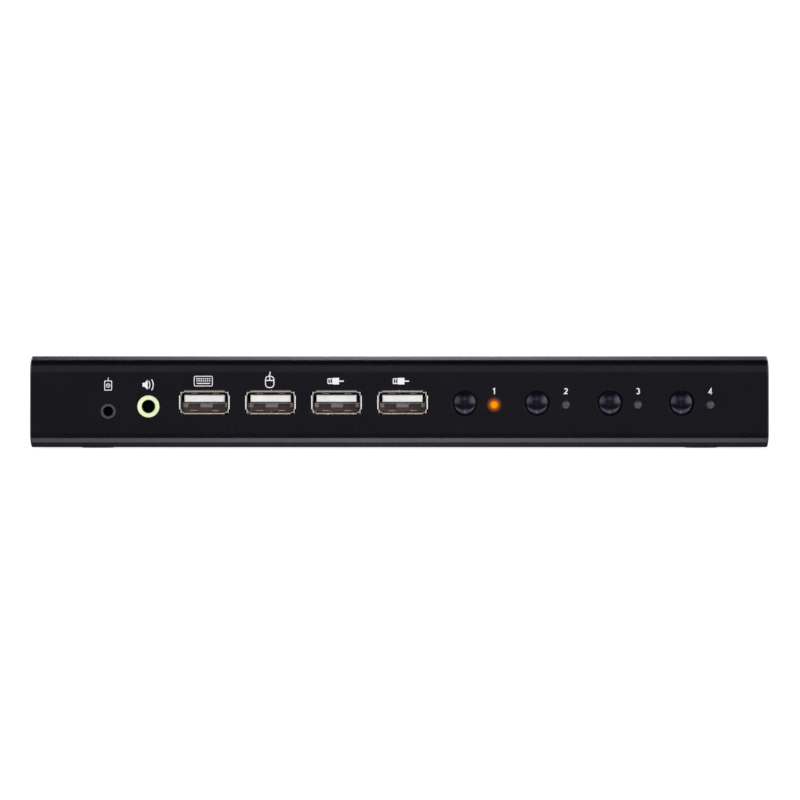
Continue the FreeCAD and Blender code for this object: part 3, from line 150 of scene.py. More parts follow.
# ---- material building ----
class Finish:
    """A node material being built: each call adds nodes and returns what they give."""

    def __init__(self, name, colour, roughness, metallic=0.0):
        self.material = bpy.data.materials.new(name)
        self.material.use_nodes = True
        self.nodes = self.material.node_tree.nodes
        self.links = self.material.node_tree.links
        self.shader = self.nodes["Principled BSDF"]
        self.set("Base Color", (*colour, 1.0))
        self.set("Roughness", roughness)
        self.set("Metallic", metallic)
        self.place = self.nodes.new("ShaderNodeTexCoord").outputs["Object"]
        self.normal = None

    def set(self, socket, value):
        """A fixed value, or another node's output, on one of the shader's sockets."""
        self.feed(self.shader.inputs[socket], value)

    def feed(self, socket, value):
        """A fixed value or an output into any socket."""
        if isinstance(value, bpy.types.NodeSocket):
            self.links.new(value, socket)
        else:
            socket.default_value = value

    def shifted(self, place=(0, 0, 0), scale=(1, 1, 1)):
        """The object's coordinates from a new centre, scaled along each axis."""
        mapping = self.nodes.new("ShaderNodeMapping")
        mapping.inputs["Location"].default_value = [-p * s for p, s in zip(place, scale)]
        mapping.inputs["Scale"].default_value = scale
        self.links.new(self.place, mapping.inputs["Vector"])
        return mapping.outputs["Vector"]

    def noise(self, size, detail=2.0, stretch=(1, 1, 1), seed=0.0):
        """Noise from 0 to 1 with features about one size across; stretch lengthens them."""
        texture = self.nodes.new("ShaderNodeTexNoise")
        texture.inputs["Scale"].default_value = 1.0 / size
        texture.inputs["Detail"].default_value = detail
        scale = [1.0 / s for s in stretch]
        self.links.new(self.shifted((seed, seed, 0), scale), texture.inputs["Vector"])
        return texture.outputs["Fac"]

    def cells(self, size, stretch=(1, 1, 1)):
        """Distance to the border between irregular cells about one size across."""
        texture = self.nodes.new("ShaderNodeTexVoronoi")
        texture.feature = "DISTANCE_TO_EDGE"
        texture.inputs["Scale"].default_value = 1.0 / size
        self.links.new(self.shifted(scale=[1.0 / s for s in stretch]), texture.inputs["Vector"])
        return texture.outputs["Distance"]

    def spread(self, value, low, high, source=(0.3, 0.7), smooth=False):
        """A value moved from one range onto another, and kept inside it."""
        node = self.nodes.new("ShaderNodeMapRange")
        node.interpolation_type = "SMOOTHSTEP" if smooth else "LINEAR"
        self.feed(node.inputs["Value"], value)
        node.inputs["From Min"].default_value = source[0]
        node.inputs["From Max"].default_value = source[1]
        node.inputs["To Min"].default_value = low
        node.inputs["To Max"].default_value = high
        return node.outputs["Result"]

    def blend(self, share, first, second):
        """A colour between two others."""
        node = self.nodes.new("ShaderNodeMix")
        node.data_type = "RGBA"
        self.feed(node.inputs["Factor"], share)
        colours = [socket for socket in node.inputs if socket.type == "RGBA"]
        for socket, colour in zip(colours, (first, second)):
            self.feed(socket, colour if isinstance(colour, bpy.types.NodeSocket) else (*colour, 1.0))
        return next(socket for socket in node.outputs if socket.type == "RGBA")

    def maths(self, operation, first, second):
        """One sum on two values."""
        node = self.nodes.new("ShaderNodeMath")
        node.operation = operation
        self.feed(node.inputs[0], first)
        self.feed(node.inputs[1], second)
        return node.outputs["Value"]

    def distance(self, centre, scale=(1, 1, 1)):
        """Distance from a point, with some axes left out by a scale of 0."""
        node = self.nodes.new("ShaderNodeVectorMath")
        node.operation = "LENGTH"
        self.links.new(self.shifted(centre, scale), node.inputs[0])
        return node.outputs["Value"]

    def reach(self, centre):
        """Distance from a line that runs from front to rear through a point."""
        return self.distance((centre.x, 0, centre.z), (1, 0, 1))

    def facing(self):
        """How much a surface faces straight to the front or the rear."""
        normal = self.nodes.new("ShaderNodeNewGeometry").outputs["True Normal"]
        axes = self.nodes.new("ShaderNodeSeparateXYZ")
        self.links.new(normal, axes.inputs["Vector"])
        return self.spread(self.maths("ABSOLUTE", axes.outputs["Y"], 0.0), 0.0, 1.0, FACING)

    def axis(self, name):
        """The place along one axis."""
        axes = self.nodes.new("ShaderNodeSeparateXYZ")
        self.links.new(self.place, axes.inputs["Vector"])
        return axes.outputs[name]

    def depth(self, start, end):
        """From 0 at one distance behind the flat face to 1 at another."""
        return self.spread(self.axis("Y"), 0.0, 1.0, (FACE_Y + start, FACE_Y + end))

    def level(self, start, end, low, high):
        """One value at one height from the bezel's middle, and another at a second."""
        return self.spread(self.axis("Z"), low, high, (BEZEL_MIDDLE.z + start, BEZEL_MIDDLE.z + end))

    def base_colour(self):
        """What feeds the base colour so far."""
        return self.shader.inputs["Base Color"].links[0].from_socket

    def soften_edges(self, radius):
        """Edges that catch the light as if they were rounded."""
        node = self.nodes.new("ShaderNodeBevel")
        node.samples = BEVEL_SAMPLES
        self.feed(node.inputs["Radius"], radius)
        self.normal = node.outputs["Normal"]
        self.links.new(self.normal, self.shader.inputs["Normal"])

    def bump(self, height, depth):
        """Relief of a real depth, on top of what there is so far."""
        node = self.nodes.new("ShaderNodeBump")
        node.inputs["Distance"].default_value = depth
        self.feed(node.inputs["Height"], height)
        if self.normal:
            self.links.new(self.normal, node.inputs["Normal"])
        self.normal = node.outputs["Normal"]
        self.links.new(self.normal, self.shader.inputs["Normal"])

    def vary(self, colour, amount, size, seed=0.0):
        """Slow variation of a base colour between two tones."""
        darker = [c * (1 - amount) for c in colour]
        lighter = [c * (1 + amount) for c in colour]
        share = self.spread(self.noise(size, seed=seed), 0.0, 1.0)
        self.set("Base Color", self.blend(share, darker, lighter))


# ---- the finishes: a function for each material slot, and for each kind of node with its own ----
def bezel_plastic():
    """Black moulded plastic with a fine satin grain, and a painted orange glow around the first
    indicator.
    """
    colour = (0.0034, 0.003, 0.0058)
    finish = Finish("bezel_plastic", colour, 0.3)
    finish.vary(colour, 0.15, 9 * MM)
    clouds = finish.spread(finish.noise(28 * MM, 3.0), -0.02, 0.02)
    grain = finish.spread(finish.noise(0.35 * MM, 2.0, seed=3.0), 0.27, 0.33)
    finish.set("Roughness", finish.maths("ADD", grain, clouds))
    near, far = BEZEL_FACETS
    above = finish.level(near, far, BEZEL_EDGE, BEZEL_EDGE_ABOVE)
    below = finish.level(-near, -far, 0.0, BEZEL_EDGE_BELOW - BEZEL_EDGE)
    finish.soften_edges(finish.maths("ADD", above, below))
    finish.bump(finish.noise(0.16 * MM, 2.0), 1.6e-6)
    # painted glow: the plastic itself emits orange around the first indicator
    painted_glow = finish.spread(finish.reach(middle(LED_NODES[0])), 1.0, 0.0, BEZEL_PAINTED_GLOW)
    finish.set("Emission Color", (1.0, 0.24, 0.02, 1.0))
    finish.set("Emission Strength", finish.maths("MULTIPLY", finish.maths("POWER", painted_glow, 2.2), 0.42))
    return finish.material


def painted_steel():
    """Black powder coat with its fine orange peel."""
    colour = (0.012, 0.012, 0.0135)
    finish = Finish("painted_steel", colour, 0.42)
    finish.vary(colour, 0.18, 14 * MM)
    finish.set("Roughness", finish.spread(finish.noise(0.8 * MM, 3.0), 0.36, 0.5))
    finish.soften_edges(0.25 * MM)
    finish.bump(finish.noise(0.55 * MM, 3.0), 9e-6)
    finish.bump(finish.noise(0.12 * MM, 1.0), 1.5e-6)
    return finish.material


def foot_rubber():
    """Matt rubber with a dusty bloom."""
    colour = (0.024, 0.0235, 0.023)
    finish = Finish("foot_rubber", colour, 0.8)
    finish.vary(colour, 0.3, 1.6 * MM)
    finish.set("Roughness", finish.spread(finish.noise(0.5 * MM, 3.0), 0.7, 0.92))
    finish.bump(finish.noise(0.2 * MM, 3.0), 8e-6)
    return finish.material


def metal(name, colour, roughness, lay=(1, 1, 1), edge=0.05 * MM):
    """Worked metal: fine marks along its lay, faint stains, and a roughness that wanders."""
    finish = Finish(name, colour, roughness, metallic=1.0)
    finish.vary(colour, 0.07, 2.5 * MM)
    marks = finish.noise(0.1 * MM, 2.0, lay)
    fine = finish.maths("MULTIPLY", marks, 0.6)
    broad = finish.maths("MULTIPLY", finish.noise(1.2 * MM, 2.0, seed=5.0), 0.4)
    wander = finish.maths("ADD", fine, broad)
    finish.set("Roughness", finish.spread(wander, roughness * 0.75, roughness * 1.35))
    finish.soften_edges(edge)
    finish.bump(marks, 0.3e-6)
    return finish


def black_screw():
    """Steel with a black oxide finish."""
    return metal("black_screw", (0.05, 0.05, 0.055), 0.38).material


def zinc_screw():
    """Bright zinc plating."""
    return metal("zinc_screw", (0.62, 0.62, 0.6), 0.3).material


def standoff_brass():
    """Turned brass."""
    return metal("standoff_brass", (0.72, 0.53, 0.24), 0.26, (1, 1, 0.3)).material


def contact_gold():
    """Gold plating over nickel; the ends of the strips that face front and rear are painted dark as
    painted shade.
    """
    finish = metal("contact_gold", (0.86, 0.63, 0.27), 0.22, (1, 8, 1))
    # painted shade on the faces toward the front and rear
    finish.set("Base Color", finish.blend(finish.facing(), finish.base_colour(), (0.07, 0.055, 0.04)))
    return finish.material


def lead_tin():
    """Tinned wire."""
    return metal("lead_tin", (0.68, 0.68, 0.66), 0.34, (1, 6, 1)).material


def nickel(name, walls, outward):
    """Nickel plating in one colour on the walls and another where it faces outward: painted shade on
    the walls, painted highlight on the outward faces.
    """
    finish = metal(name, walls, 0.26, (1, 12, 1), 0.1 * MM)
    facing = finish.facing()
    # painted highlight on faces toward front and rear, painted shade on the walls
    finish.set("Base Color", finish.blend(facing, finish.base_colour(), outward))
    return finish, facing


def plated_shell():
    """The rear sockets' shells: satin, painted bright where they face outward as painted highlight, and
    darker on their walls as painted shade.
    """
    finish, facing = nickel("plated_shell", (0.27, 0.235, 0.205), (0.78, 0.74, 0.69))
    finish.set("Metallic", finish.spread(facing, 0.8, 0.45, (0, 1)))
    return finish.material


def usb_a_shell(node):
    """A front socket's shell: its walls painted brown as painted shade, and its flared sides painted
    near white as painted highlight.
    """
    finish, facing = nickel(f"{node}_nickel", (0.13, 0.1, 0.08), (0.62, 0.57, 0.52))
    aside = finish.distance((middle(node).x, 0, 0), (1, 0, 0))
    # painted highlight on the outward faces of the flared sides
    painted_side_sheen = finish.maths("MULTIPLY", finish.spread(aside, 0.0, 1.0, SHELL_SIDE), facing)
    finish.set("Base Color", finish.blend(painted_side_sheen, finish.base_colour(), (1.0, 0.98, 0.96)))
    finish.set("Metallic", finish.spread(finish.maths("ADD", facing, painted_side_sheen), 0.8, 0.1, (0, 2)))
    return finish.material


def capacitor_can():
    """Satin aluminium."""
    return metal("capacitor_can", (0.76, 0.76, 0.77), 0.33, (4, 4, 1)).material


def moulding(name, colour, roughness, grain=0.25 * MM, depth=2e-6):
    """A plain moulded plastic with grain, flow marks and slight shade changes."""
    finish = Finish(name, colour, roughness)
    finish.vary(colour, 0.08, 3 * MM)
    wander = finish.noise(grain * 2, 2.0)
    finish.set("Roughness", finish.spread(wander, roughness * 0.85, roughness * 1.15))
    finish.soften_edges(0.06 * MM)
    finish.bump(finish.noise(grain, 2.0), depth)
    return finish


def lime_collar():
    """Pale lime moulding, a little translucent, with painted shade in its hole and round its rim."""
    finish = moulding("lime_collar", (0.84, 0.93, 0.58), 0.38)
    rim = finish.spread(finish.reach(middle("audio_jack_collar")), 0.0, 1.0, LIME_RIM)
    # painted shade in the hole and round the rim
    painted_shade = finish.maths("MAXIMUM", finish.depth(-0.1 * MM, 0.1 * MM), rim)
    finish.set("Base Color", finish.blend(painted_shade, finish.base_colour(), (0.02, 0.03, 0.01)))
    finish.set("Subsurface Weight", 0.15)
    finish.set("Subsurface Radius", (1.0, 1.0, 0.6))
    finish.set("Subsurface Scale", 0.4 * MM)
    return finish.material


def dark_collar():
    """Dark grey moulding, painted black inside its hole as painted shade."""
    finish = moulding("dark_collar", (0.058, 0.058, 0.063), 0.35)
    # painted shade: black from the flat face backward
    hole = finish.depth(-0.15 * MM, 0.0)
    finish.set("Base Color", finish.blend(hole, finish.base_colour(), (0.004, 0.004, 0.004)))
    return finish.material


def socket_black():
    """Black glass-filled moulding."""
    return moulding("socket_black", (0.016, 0.016, 0.018), 0.5, depth=4e-6).material


def usb_a_insulator():
    """White moulding; its rear block painted paler as painted light, and painted shade on it: dark in
    its pockets, brown at its foot and near black beside the tongue.
    """
    finish = moulding("usb_a_insulator", (0.84, 0.835, 0.83), 0.42)
    # painted light on the rear block; painted shade in its pockets, at its foot and beside the tongue
    block = finish.depth(SOCKET_BLOCK - 0.2 * MM, SOCKET_BLOCK)
    pocket = finish.depth(SOCKET_BLOCK + 0.1 * MM, SOCKET_BLOCK + 0.2 * MM)
    foot = finish.maths("MULTIPLY", block, finish.level(BLOCK_FLOOR_SHADE, BLOCK_FLOOR_SHADE - 0.1 * MM, 0.0, 1.0))
    painted_shadow_line = finish.maths("MULTIPLY", block, finish.level(BLOCK_SHADOW_LINE - 0.05 * MM, BLOCK_SHADOW_LINE, 0.0, 1.0))
    colour = finish.base_colour()
    layers = (
        (block, (0.93, 0.94, 0.97)), (pocket, (0.24, 0.25, 0.28)),
        (foot, (0.33, 0.19, 0.13)), (painted_shadow_line, (0.02, 0.02, 0.02)))
    for share, shade in layers:
        colour = finish.blend(share, colour, shade)
    finish.set("Base Color", colour)
    return finish.material


def usb_b_insulator():
    """Off-white moulding."""
    return moulding("usb_b_insulator", (0.8, 0.79, 0.75), 0.48).material


def plunger_white():
    """Natural, slightly waxy moulding."""
    return moulding("plunger_white", (0.74, 0.73, 0.68), 0.5).material


def chip_black():
    """Epoxy package with a matt, sandy skin."""
    return moulding("chip_black", (0.02, 0.02, 0.021), 0.6, 0.12 * MM, 5e-6).material


def coil_grey():
    """Pressed ferrite powder."""
    return moulding("coil_grey", (0.11, 0.11, 0.115), 0.7, 0.3 * MM, 8e-6).material


def button_gloss():
    """Gloss black plastic with a deep blue cast, polishing marks, and a duller lower edge."""
    colour = (0.004, 0.004, 0.012)
    finish = Finish("button_gloss", colour, 0.16)
    finish.vary(colour, 0.2, 1.5 * MM)
    marks = finish.noise(0.12 * MM, 2.0, (6, 1, 6))
    dull = finish.level(-1.6 * MM, -2.6 * MM, 0.0, 0.14)
    finish.set("Roughness", finish.maths("ADD", finish.spread(marks, 0.12, 0.2), dull))
    finish.set("IOR", 1.6)
    finish.bump(finish.noise(0.5 * MM, 1.0), 1.5e-6)
    return finish.material


def board_green():
    """Green solder mask over a web of copper tracks."""
    finish = Finish("board_green", (0.015, 0.09, 0.04), 0.3)
    tracks = finish.cells(2.2 * MM, (1, 1, 40))
    on_track = finish.spread(tracks, 1.0, 0.0, (0.03, 0.06))
    finish.set("Base Color", finish.blend(on_track, (0.008, 0.06, 0.026), (0.03, 0.16, 0.07)))
    finish.set("Roughness", finish.spread(finish.noise(0.4 * MM, 2.0), 0.24, 0.36))
    finish.bump(on_track, 3e-5)
    return finish.material


def lit_lens(node):
    """A glowing orange lens: brightest and yellowest at its centre."""
    finish = Finish(f"{node}_lens", (0.04, 0.01, 0.0), 0.3)
    rim = finish.spread(finish.reach(middle(node)), 0.0, 1.0, LIT_RIM, smooth=True)
    finish.set("Emission Color", finish.blend(rim, (1.0, 0.3, 0.0), (1.0, 0.2, 0.0)))
    finish.set("Specular IOR Level", 0.15)
    cloud = finish.spread(finish.noise(0.4 * MM, 2.0), 0.9, 1.1)
    glow = finish.spread(rim, 1.05, 0.12, (0, 1))
    finish.set("Emission Strength", finish.maths("MULTIPLY", glow, cloud))
    return finish.material


def dark_lens(node):
    """An unlit milky lens, painted palest a little above its centre and darker to its rim, as painted
    shading.
    """
    finish = Finish(f"{node}_lens", (0.06, 0.055, 0.06), 0.4)
    above_middle = middle(node) + Vector((0, 0, 0.1 * MM))
    # painted shading: pale a little above the centre, darker to the rim
    rim = finish.spread(finish.reach(above_middle), 0.0, 1.0, DARK_RIM, smooth=True)
    cloud = finish.spread(finish.noise(0.3 * MM, 2.0), -0.1, 0.1)
    share = finish.maths("ADD", rim, cloud)
    finish.set("Base Color", finish.blend(share, (0.085, 0.078, 0.082), (0.046, 0.043, 0.047)))
    finish.set("Coat Weight", 0.3)
    finish.bump(finish.noise(0.25 * MM, 2.0), 2e-6)
    return finish.material


def legend_ink():
    """White screen-printed ink with a slightly uneven body."""
    colour = (0.88, 0.88, 0.88)
    finish = Finish("legend_ink", colour, 0.5)
    finish.vary(colour, 0.04, 0.6 * MM)
    finish.set("Roughness", finish.spread(finish.noise(0.1 * MM, 2.0), 0.42, 0.6))
    finish.bump(finish.noise(0.08 * MM, 2.0), 1.5e-6)
    return finish.material


SLOT_FINISHES = [
    bezel_plastic, painted_steel, foot_rubber, black_screw, zinc_screw, standoff_brass, board_green,
    lime_collar, dark_collar, socket_black, contact_gold, lead_tin, plated_shell, usb_a_insulator,
    usb_b_insulator, button_gloss, plunger_white, chip_black, capacitor_can, coil_grey,
]


def finish_cad_nodes():
    """Puts a procedural material on every CAD node, by the slot that its record gives it."""
    finishes = {make.__name__: make() for make in SLOT_FINISHES}
    for part in frame["record"]["subparts"]:
        node = part["node"]
        if node in LED_NODES:
            material = lit_lens(node) if node == LED_NODES[0] else dark_lens(node)
        elif node in USB_A_NODES:
            material = usb_a_shell(node)
        else:
            material = finishes[part["material_slot"]]
        frame["nodes"][node].data.materials[0] = material
    return finishes


# ---- printed legends ----
class Print:
    """Flat ink on one wall of the case. Points are right and up for a reader, in millimetres."""

    def __init__(self, name, wall_y, outward):
        self.name = name
        self.wall_y = wall_y
        self.outward = outward
        self.bm = bmesh.new()
        self.centre = (0.0, 0.0)
        self.shapes = 0

    def at(self, x, z):
        """Moves the centre that the next shapes are drawn about, in metres."""
        self.centre = (x, z)

    def shape(self, polygons):
        """Polygons raised together as one shape, each shape a touch higher than the last."""
        corners = {}
        faces = []
        for polygon in polygons:
            loop = []
            for right, up in polygon:
                key = (round(right, 6), round(up, 6))
                if key not in corners:
                    x = self.centre[0] - self.outward * right * MM
                    z = self.centre[1] + up * MM
                    corners[key] = self.bm.verts.new((x, self.wall_y, z))
                loop.append(corners[key])
            faces.append(self.bm.faces.new(loop))
        raised = bmesh.ops.extrude_face_region(self.bm, geom=faces)["geom"]
        self.shapes += 1
        height = INK_THICKNESS * (1 + INK_OVERLAP * (self.shapes % INK_LEVELS))
        for item in raised:
            if isinstance(item, bmesh.types.BMVert):
                item.co.y += self.outward * height

    def line(self, points, width=LINE, closed=False):
        """A line of even width through the points, mitred at its corners."""
        path = [Vector(p) for p in points]
        count = len(path)
        sides = []
        for i, point in enumerate(path):
            into = (point - path[i - 1]).normalized()
            out = (path[(i + 1) % count] - point).normalized()
            if not closed and i == 0:
                into = out
            if not closed and i == count - 1:
                out = into
            across = Vector((-(into.y + out.y), into.x + out.x)).normalized()
            reach = width / 2 / max(MITRE_LIMIT, across.dot(Vector((-into.y, into.x))))
            sides.append((point + across * reach, point - across * reach))
        quads = []
        for i in range(count if closed else count - 1):
            here, there = sides[i], sides[(i + 1) % count]
            quads.append([here[0], there[0], there[1], here[1]])
        self.shape(quads)

    def frame(self, width, height, corner, line=LINE, shift=(0.0, 0.0)):
        """A rounded rectangle drawn as a line."""
        self.line(rounded_rectangle(width, height, corner, shift), line, closed=True)

    def patch(self, width, height, shift=(0.0, 0.0)):
        """A filled rectangle."""
        right, up = shift
        self.shape([[
            (right - width / 2, up - height / 2), (right + width / 2, up - height / 2),
            (right + width / 2, up + height / 2), (right - width / 2, up + height / 2)]])

    def arc(self, radius, start, end, shift=(0.0, 0.0), line=LINE, steps=12):
        """Part of a circle, in degrees from the right and anticlockwise."""
        self.line(arc_points(radius, start, end, shift, steps), line)

    def ring(self, radius, shift=(0.0, 0.0), line=LINE, steps=24):
        """A whole circle drawn as a line."""
        self.line(arc_points(radius, 0, 360, shift, steps)[:-1], line, closed=True)

    def numeral(self, number, height):
        """A plain numeral, centred; its strokes are given in tenths of its height."""
        tenth = height / 10
        for stroke in NUMERAL_STROKES[number]:
            self.line([(right * tenth, up * tenth) for right, up in stroke], NUMERAL_LINE)

    def finish(self, material):
        """Makes the piece."""
        bmesh.ops.recalc_face_normals(self.bm, faces=self.bm.faces)
        mesh = bpy.data.meshes.new(self.name)
        self.bm.to_mesh(mesh)
        self.bm.free()
        mesh.materials.append(material)
        piece = bpy.data.objects.new(self.name, mesh)
        bpy.context.scene.collection.objects.link(piece)
        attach(piece, "case")
        return piece


def arc_points(radius, start, end, shift=(0.0, 0.0), steps=12):
    """Points along an arc, from one angle to another in degrees."""
    points = []
    for i in range(steps + 1):
        angle = math.radians(start + (end - start) * i / steps)
        points.append((shift[0] + radius * math.cos(angle), shift[1] + radius * math.sin(angle)))
    return points


def rounded_rectangle(width, height, corner, shift=(0.0, 0.0)):
    """The outline of a rectangle with round corners, anticlockwise from its right side."""
    points = []
    turns = ((1, 1, 0), (-1, 1, 90), (-1, -1, 180), (1, -1, 270))
    for right, up, start in turns:
        centre = (shift[0] + right * (width / 2 - corner), shift[1] + up * (height / 2 - corner))
        points += arc_points(corner, start, start + 90, centre, 5)
    return points


def arc_tenths(radius, start, end, right, up):
    """Part of a numeral's curve, in tenths of its height."""
    return arc_points(radius, start, end, (right, up), 10)


NUMERAL_STROKES = {
    1: [[(-2.0, 2.6), (0.4, 4.2), (0.4, -4.9)]],
    2: [arc_tenths(2.2, 160, -35, 0, 2.0) + [(-2.3, -4.1), (2.6, -4.1)]],
    3: [arc_tenths(2.1, 150, -70, -0.1, 2.2), arc_tenths(2.35, 75, -150, -0.1, -2.0)],
    4: [[(1.0, -5.0), (1.0, 4.3), (-2.7, -2.2), (2.7, -2.2)]],
}


def remote_legend(ink):
    """A small wired box with a round button."""
    ink.frame(1.9, 2.5, 0.12, 0.21)
    ink.ring(0.48, line=0.2)
    ink.patch(0.26, 0.26)
    ink.line([(0, 1.25), (0, 1.7), (0.1, 2.15)], 0.22)


def speaker_legend(ink):
    """A loudspeaker with two sound waves."""
    ink.shape([[
        (-1.6, -0.55), (-1.0, -0.55), (-0.2, -1.4),
        (-0.2, 1.4), (-1.0, 0.55), (-1.6, 0.55)]])
    ink.arc(1.75, -36, 36, (-1.35, 0))
    ink.arc(2.85, -31, 31, (-1.55, 0))


def keyboard_legend(ink):
    """A keyboard with two rows of keys and a space bar."""
    ink.frame(4.95, 2.65, 0.35, 0.2)
    for up in (0.68, 0.1):
        for i in range(7):
            ink.patch(0.34, 0.34, (-1.74 + 0.58 * i, up))
    ink.patch(3.7, 0.26, (0, -0.62))


def mouse_legend(ink):
    """A mouse with two keys and its cord."""
    ink.frame(2.3, 3.1, 0.95, 0.25, (0, -0.5))
    ink.line([(-1.1, -0.1), (1.1, -0.1)], 0.26)
    ink.line([(0, -0.1), (0, 1.1)], 0.26)
    ink.line([(0, 1.1), (-0.1, 1.5), (0.15, 1.8), (0.05, 2.3)], 0.26)


def plug_legend(ink):
    """A flat plug seen from above, with its cord."""
    ink.frame(1.3, 1.3, 0.08, 0.26, (-1.5, 0))
    for up in (-0.27, 0.27):
        ink.patch(0.34, 0.28, (-1.5, up))
    ink.patch(1.7, 1.8, (0.05, 0))
    ink.line([(0.9, 0), (2.2, 0)], 0.34)


def screen_legend(ink):
    """A monitor on its stand."""
    ink.frame(3.6, 2.3, 0.15, 0.32, (0, 0.35))
    ink.line([(0, -0.8), (0, -1.35)], 0.5)
    ink.line([(-0.95, -1.45), (0.95, -1.45)], 0.32)


def polarity_legend(ink):
    """A centre-positive mark."""
    ink.arc(0.8, 45, 315, line=0.26, steps=18)
    ink.ring(0.22, line=0.3)
    for side in (-1, 1):
        ink.ring(0.62, (side * 2.6, 0), 0.24)
        ink.patch(0.62, 0.2, (side * 2.6, 0))
    ink.patch(0.2, 0.62, (2.6, 0))
    ink.line([(-1.98, 0), (-0.8, 0)], 0.22)
    ink.line([(0.3, 0), (1.98, 0)], 0.22)


def front_legends(material):
    """The pictograms over the sockets and the numerals over the indicators."""
    ink = Print("front_legends", FACE_Y, -1)
    over_sockets = [    # what is drawn, and where from a node's middle: millimetres right and up
        (remote_legend, "remote_jack_collar", 0.0, 7.0),
        (speaker_legend, "audio_jack_collar", 0.0, 5.9),
        (keyboard_legend, "usb_a_insulator_1", -0.3, 5.8),
        (mouse_legend, "usb_a_insulator_2", -0.2, 6.1),
        (plug_legend, "usb_a_insulator_3", -0.2, 5.8),
        (plug_legend, "usb_a_insulator_4", -0.4, 5.8),
    ]
    for draw, node, right, up in over_sockets:
        place = middle(node)
        ink.at(place.x + right * MM, place.z + up * MM)
        draw(ink)
    for i, node in enumerate(LED_NODES):
        place = middle(node)
        ink.at(place.x, place.z + NUMERAL_RISE)
        ink.numeral(i + 1, NUMERAL_HEIGHT)
    return ink.finish(material)


def rear_legends(material):
    """Numerals with brackets over each computer's two sockets, and marks for the others."""
    ink = Print("rear_legends", REAR_Y, 1)
    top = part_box(USB_B_NODES[0])[1].z
    for i, (video, usb_b) in enumerate(zip(VIDEO_NODES, USB_B_NODES)):
        ends = (middle(video).x, middle(usb_b).x)
        ink.at(sum(ends) / 2, top + BRACKET_RISE)
        ink.numeral(i + 1, REAR_NUMERAL_HEIGHT)
        half = abs(ends[0] - ends[1]) / 2 / MM + BRACKET_OVERHANG
        for side in (-1, 1):
            bracket = [(side * half, -BRACKET_DROP), (side * half, 0), (side * BRACKET_GAP, 0)]
            ink.line(bracket, BRACKET_LINE)
    ink.at(middle(CONSOLE_NODE).x, top + SCREEN_RISE)
    screen_legend(ink)
    ink.at(middle("dc_jack_housing").x, top + POLARITY_RISE)
    polarity_legend(ink)
    return ink.finish(material)


# ---- contacts of the rear video sockets ----
def add_block(bm, centre, size):
    """A small block in a mesh, with its edges bevelled."""
    made = bmesh.ops.create_cube(bm, size=1.0)["verts"]
    for vertex in made:
        vertex.co = Vector(c + v * s for c, v, s in zip(centre, vertex.co, size))
    edges = {edge for vertex in made for edge in vertex.link_edges}
    bmesh.ops.bevel(bm, geom=list(edges), offset=min(size) * CONTACT_BEVEL, segments=1, affect="EDGES")


def video_contacts(node, material):
    """The contacts on both sides of a socket's wafer."""
    low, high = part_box(node)
    centre_x = (low.x + high.x) / 2
    wafer_z = high.z - WAFER_DROP
    width, length, thickness = CONTACT_SIZE
    centre_y = high.y - CONTACT_SETBACK - length / 2
    bm = bmesh.new()
    for side, count in CONTACT_ROWS:
        for i in range(count):
            x = centre_x + (i - (count - 1) / 2) * CONTACT_PITCH
            z = wafer_z + side * (WAFER_HALF + thickness / 2)
            add_block(bm, (x, centre_y, z), (width, length, thickness))
    name = node.replace("video_shell", "video_contacts")
    mesh = bpy.data.meshes.new(name)
    bm.to_mesh(mesh)
    bm.free()
    mesh.materials.append(material)
    piece = bpy.data.objects.new(name, mesh)
    bpy.context.scene.collection.objects.link(piece)
    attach(piece, "case")
    return piece


# ---- studio ----
def studio_floor():
    """A large pale table top, left out of what the object mirrors."""
    mesh = bpy.data.meshes.new("floor")
    turns = ((-1, -1), (1, -1), (1, 1), (-1, 1))
    corners = [(x * FLOOR_HALF, y * FLOOR_HALF, 0) for x, y in turns]
    mesh.from_pydata(corners, [], [(0, 1, 2, 3)])
    floor = bpy.data.objects.new("floor", mesh)
    floor.visible_glossy = False
    bpy.context.scene.collection.objects.link(floor)
    material = bpy.data.materials.new("floor")
    material.use_nodes = True
    shader = material.node_tree.nodes["Principled BSDF"]
    shader.inputs["Base Color"].default_value = (FLOOR_GREY, FLOOR_GREY, FLOOR_GREY, 1.0)
    shader.inputs["Roughness"].default_value = 0.9
    shader.inputs["Specular IOR Level"].default_value = 0.0
    shader.inputs["Emission Color"].default_value = (1.0, 1.0, 1.0, 1.0)
    shader.inputs["Emission Strength"].default_value = FLOOR_GLOW
    mesh.materials.append(material)


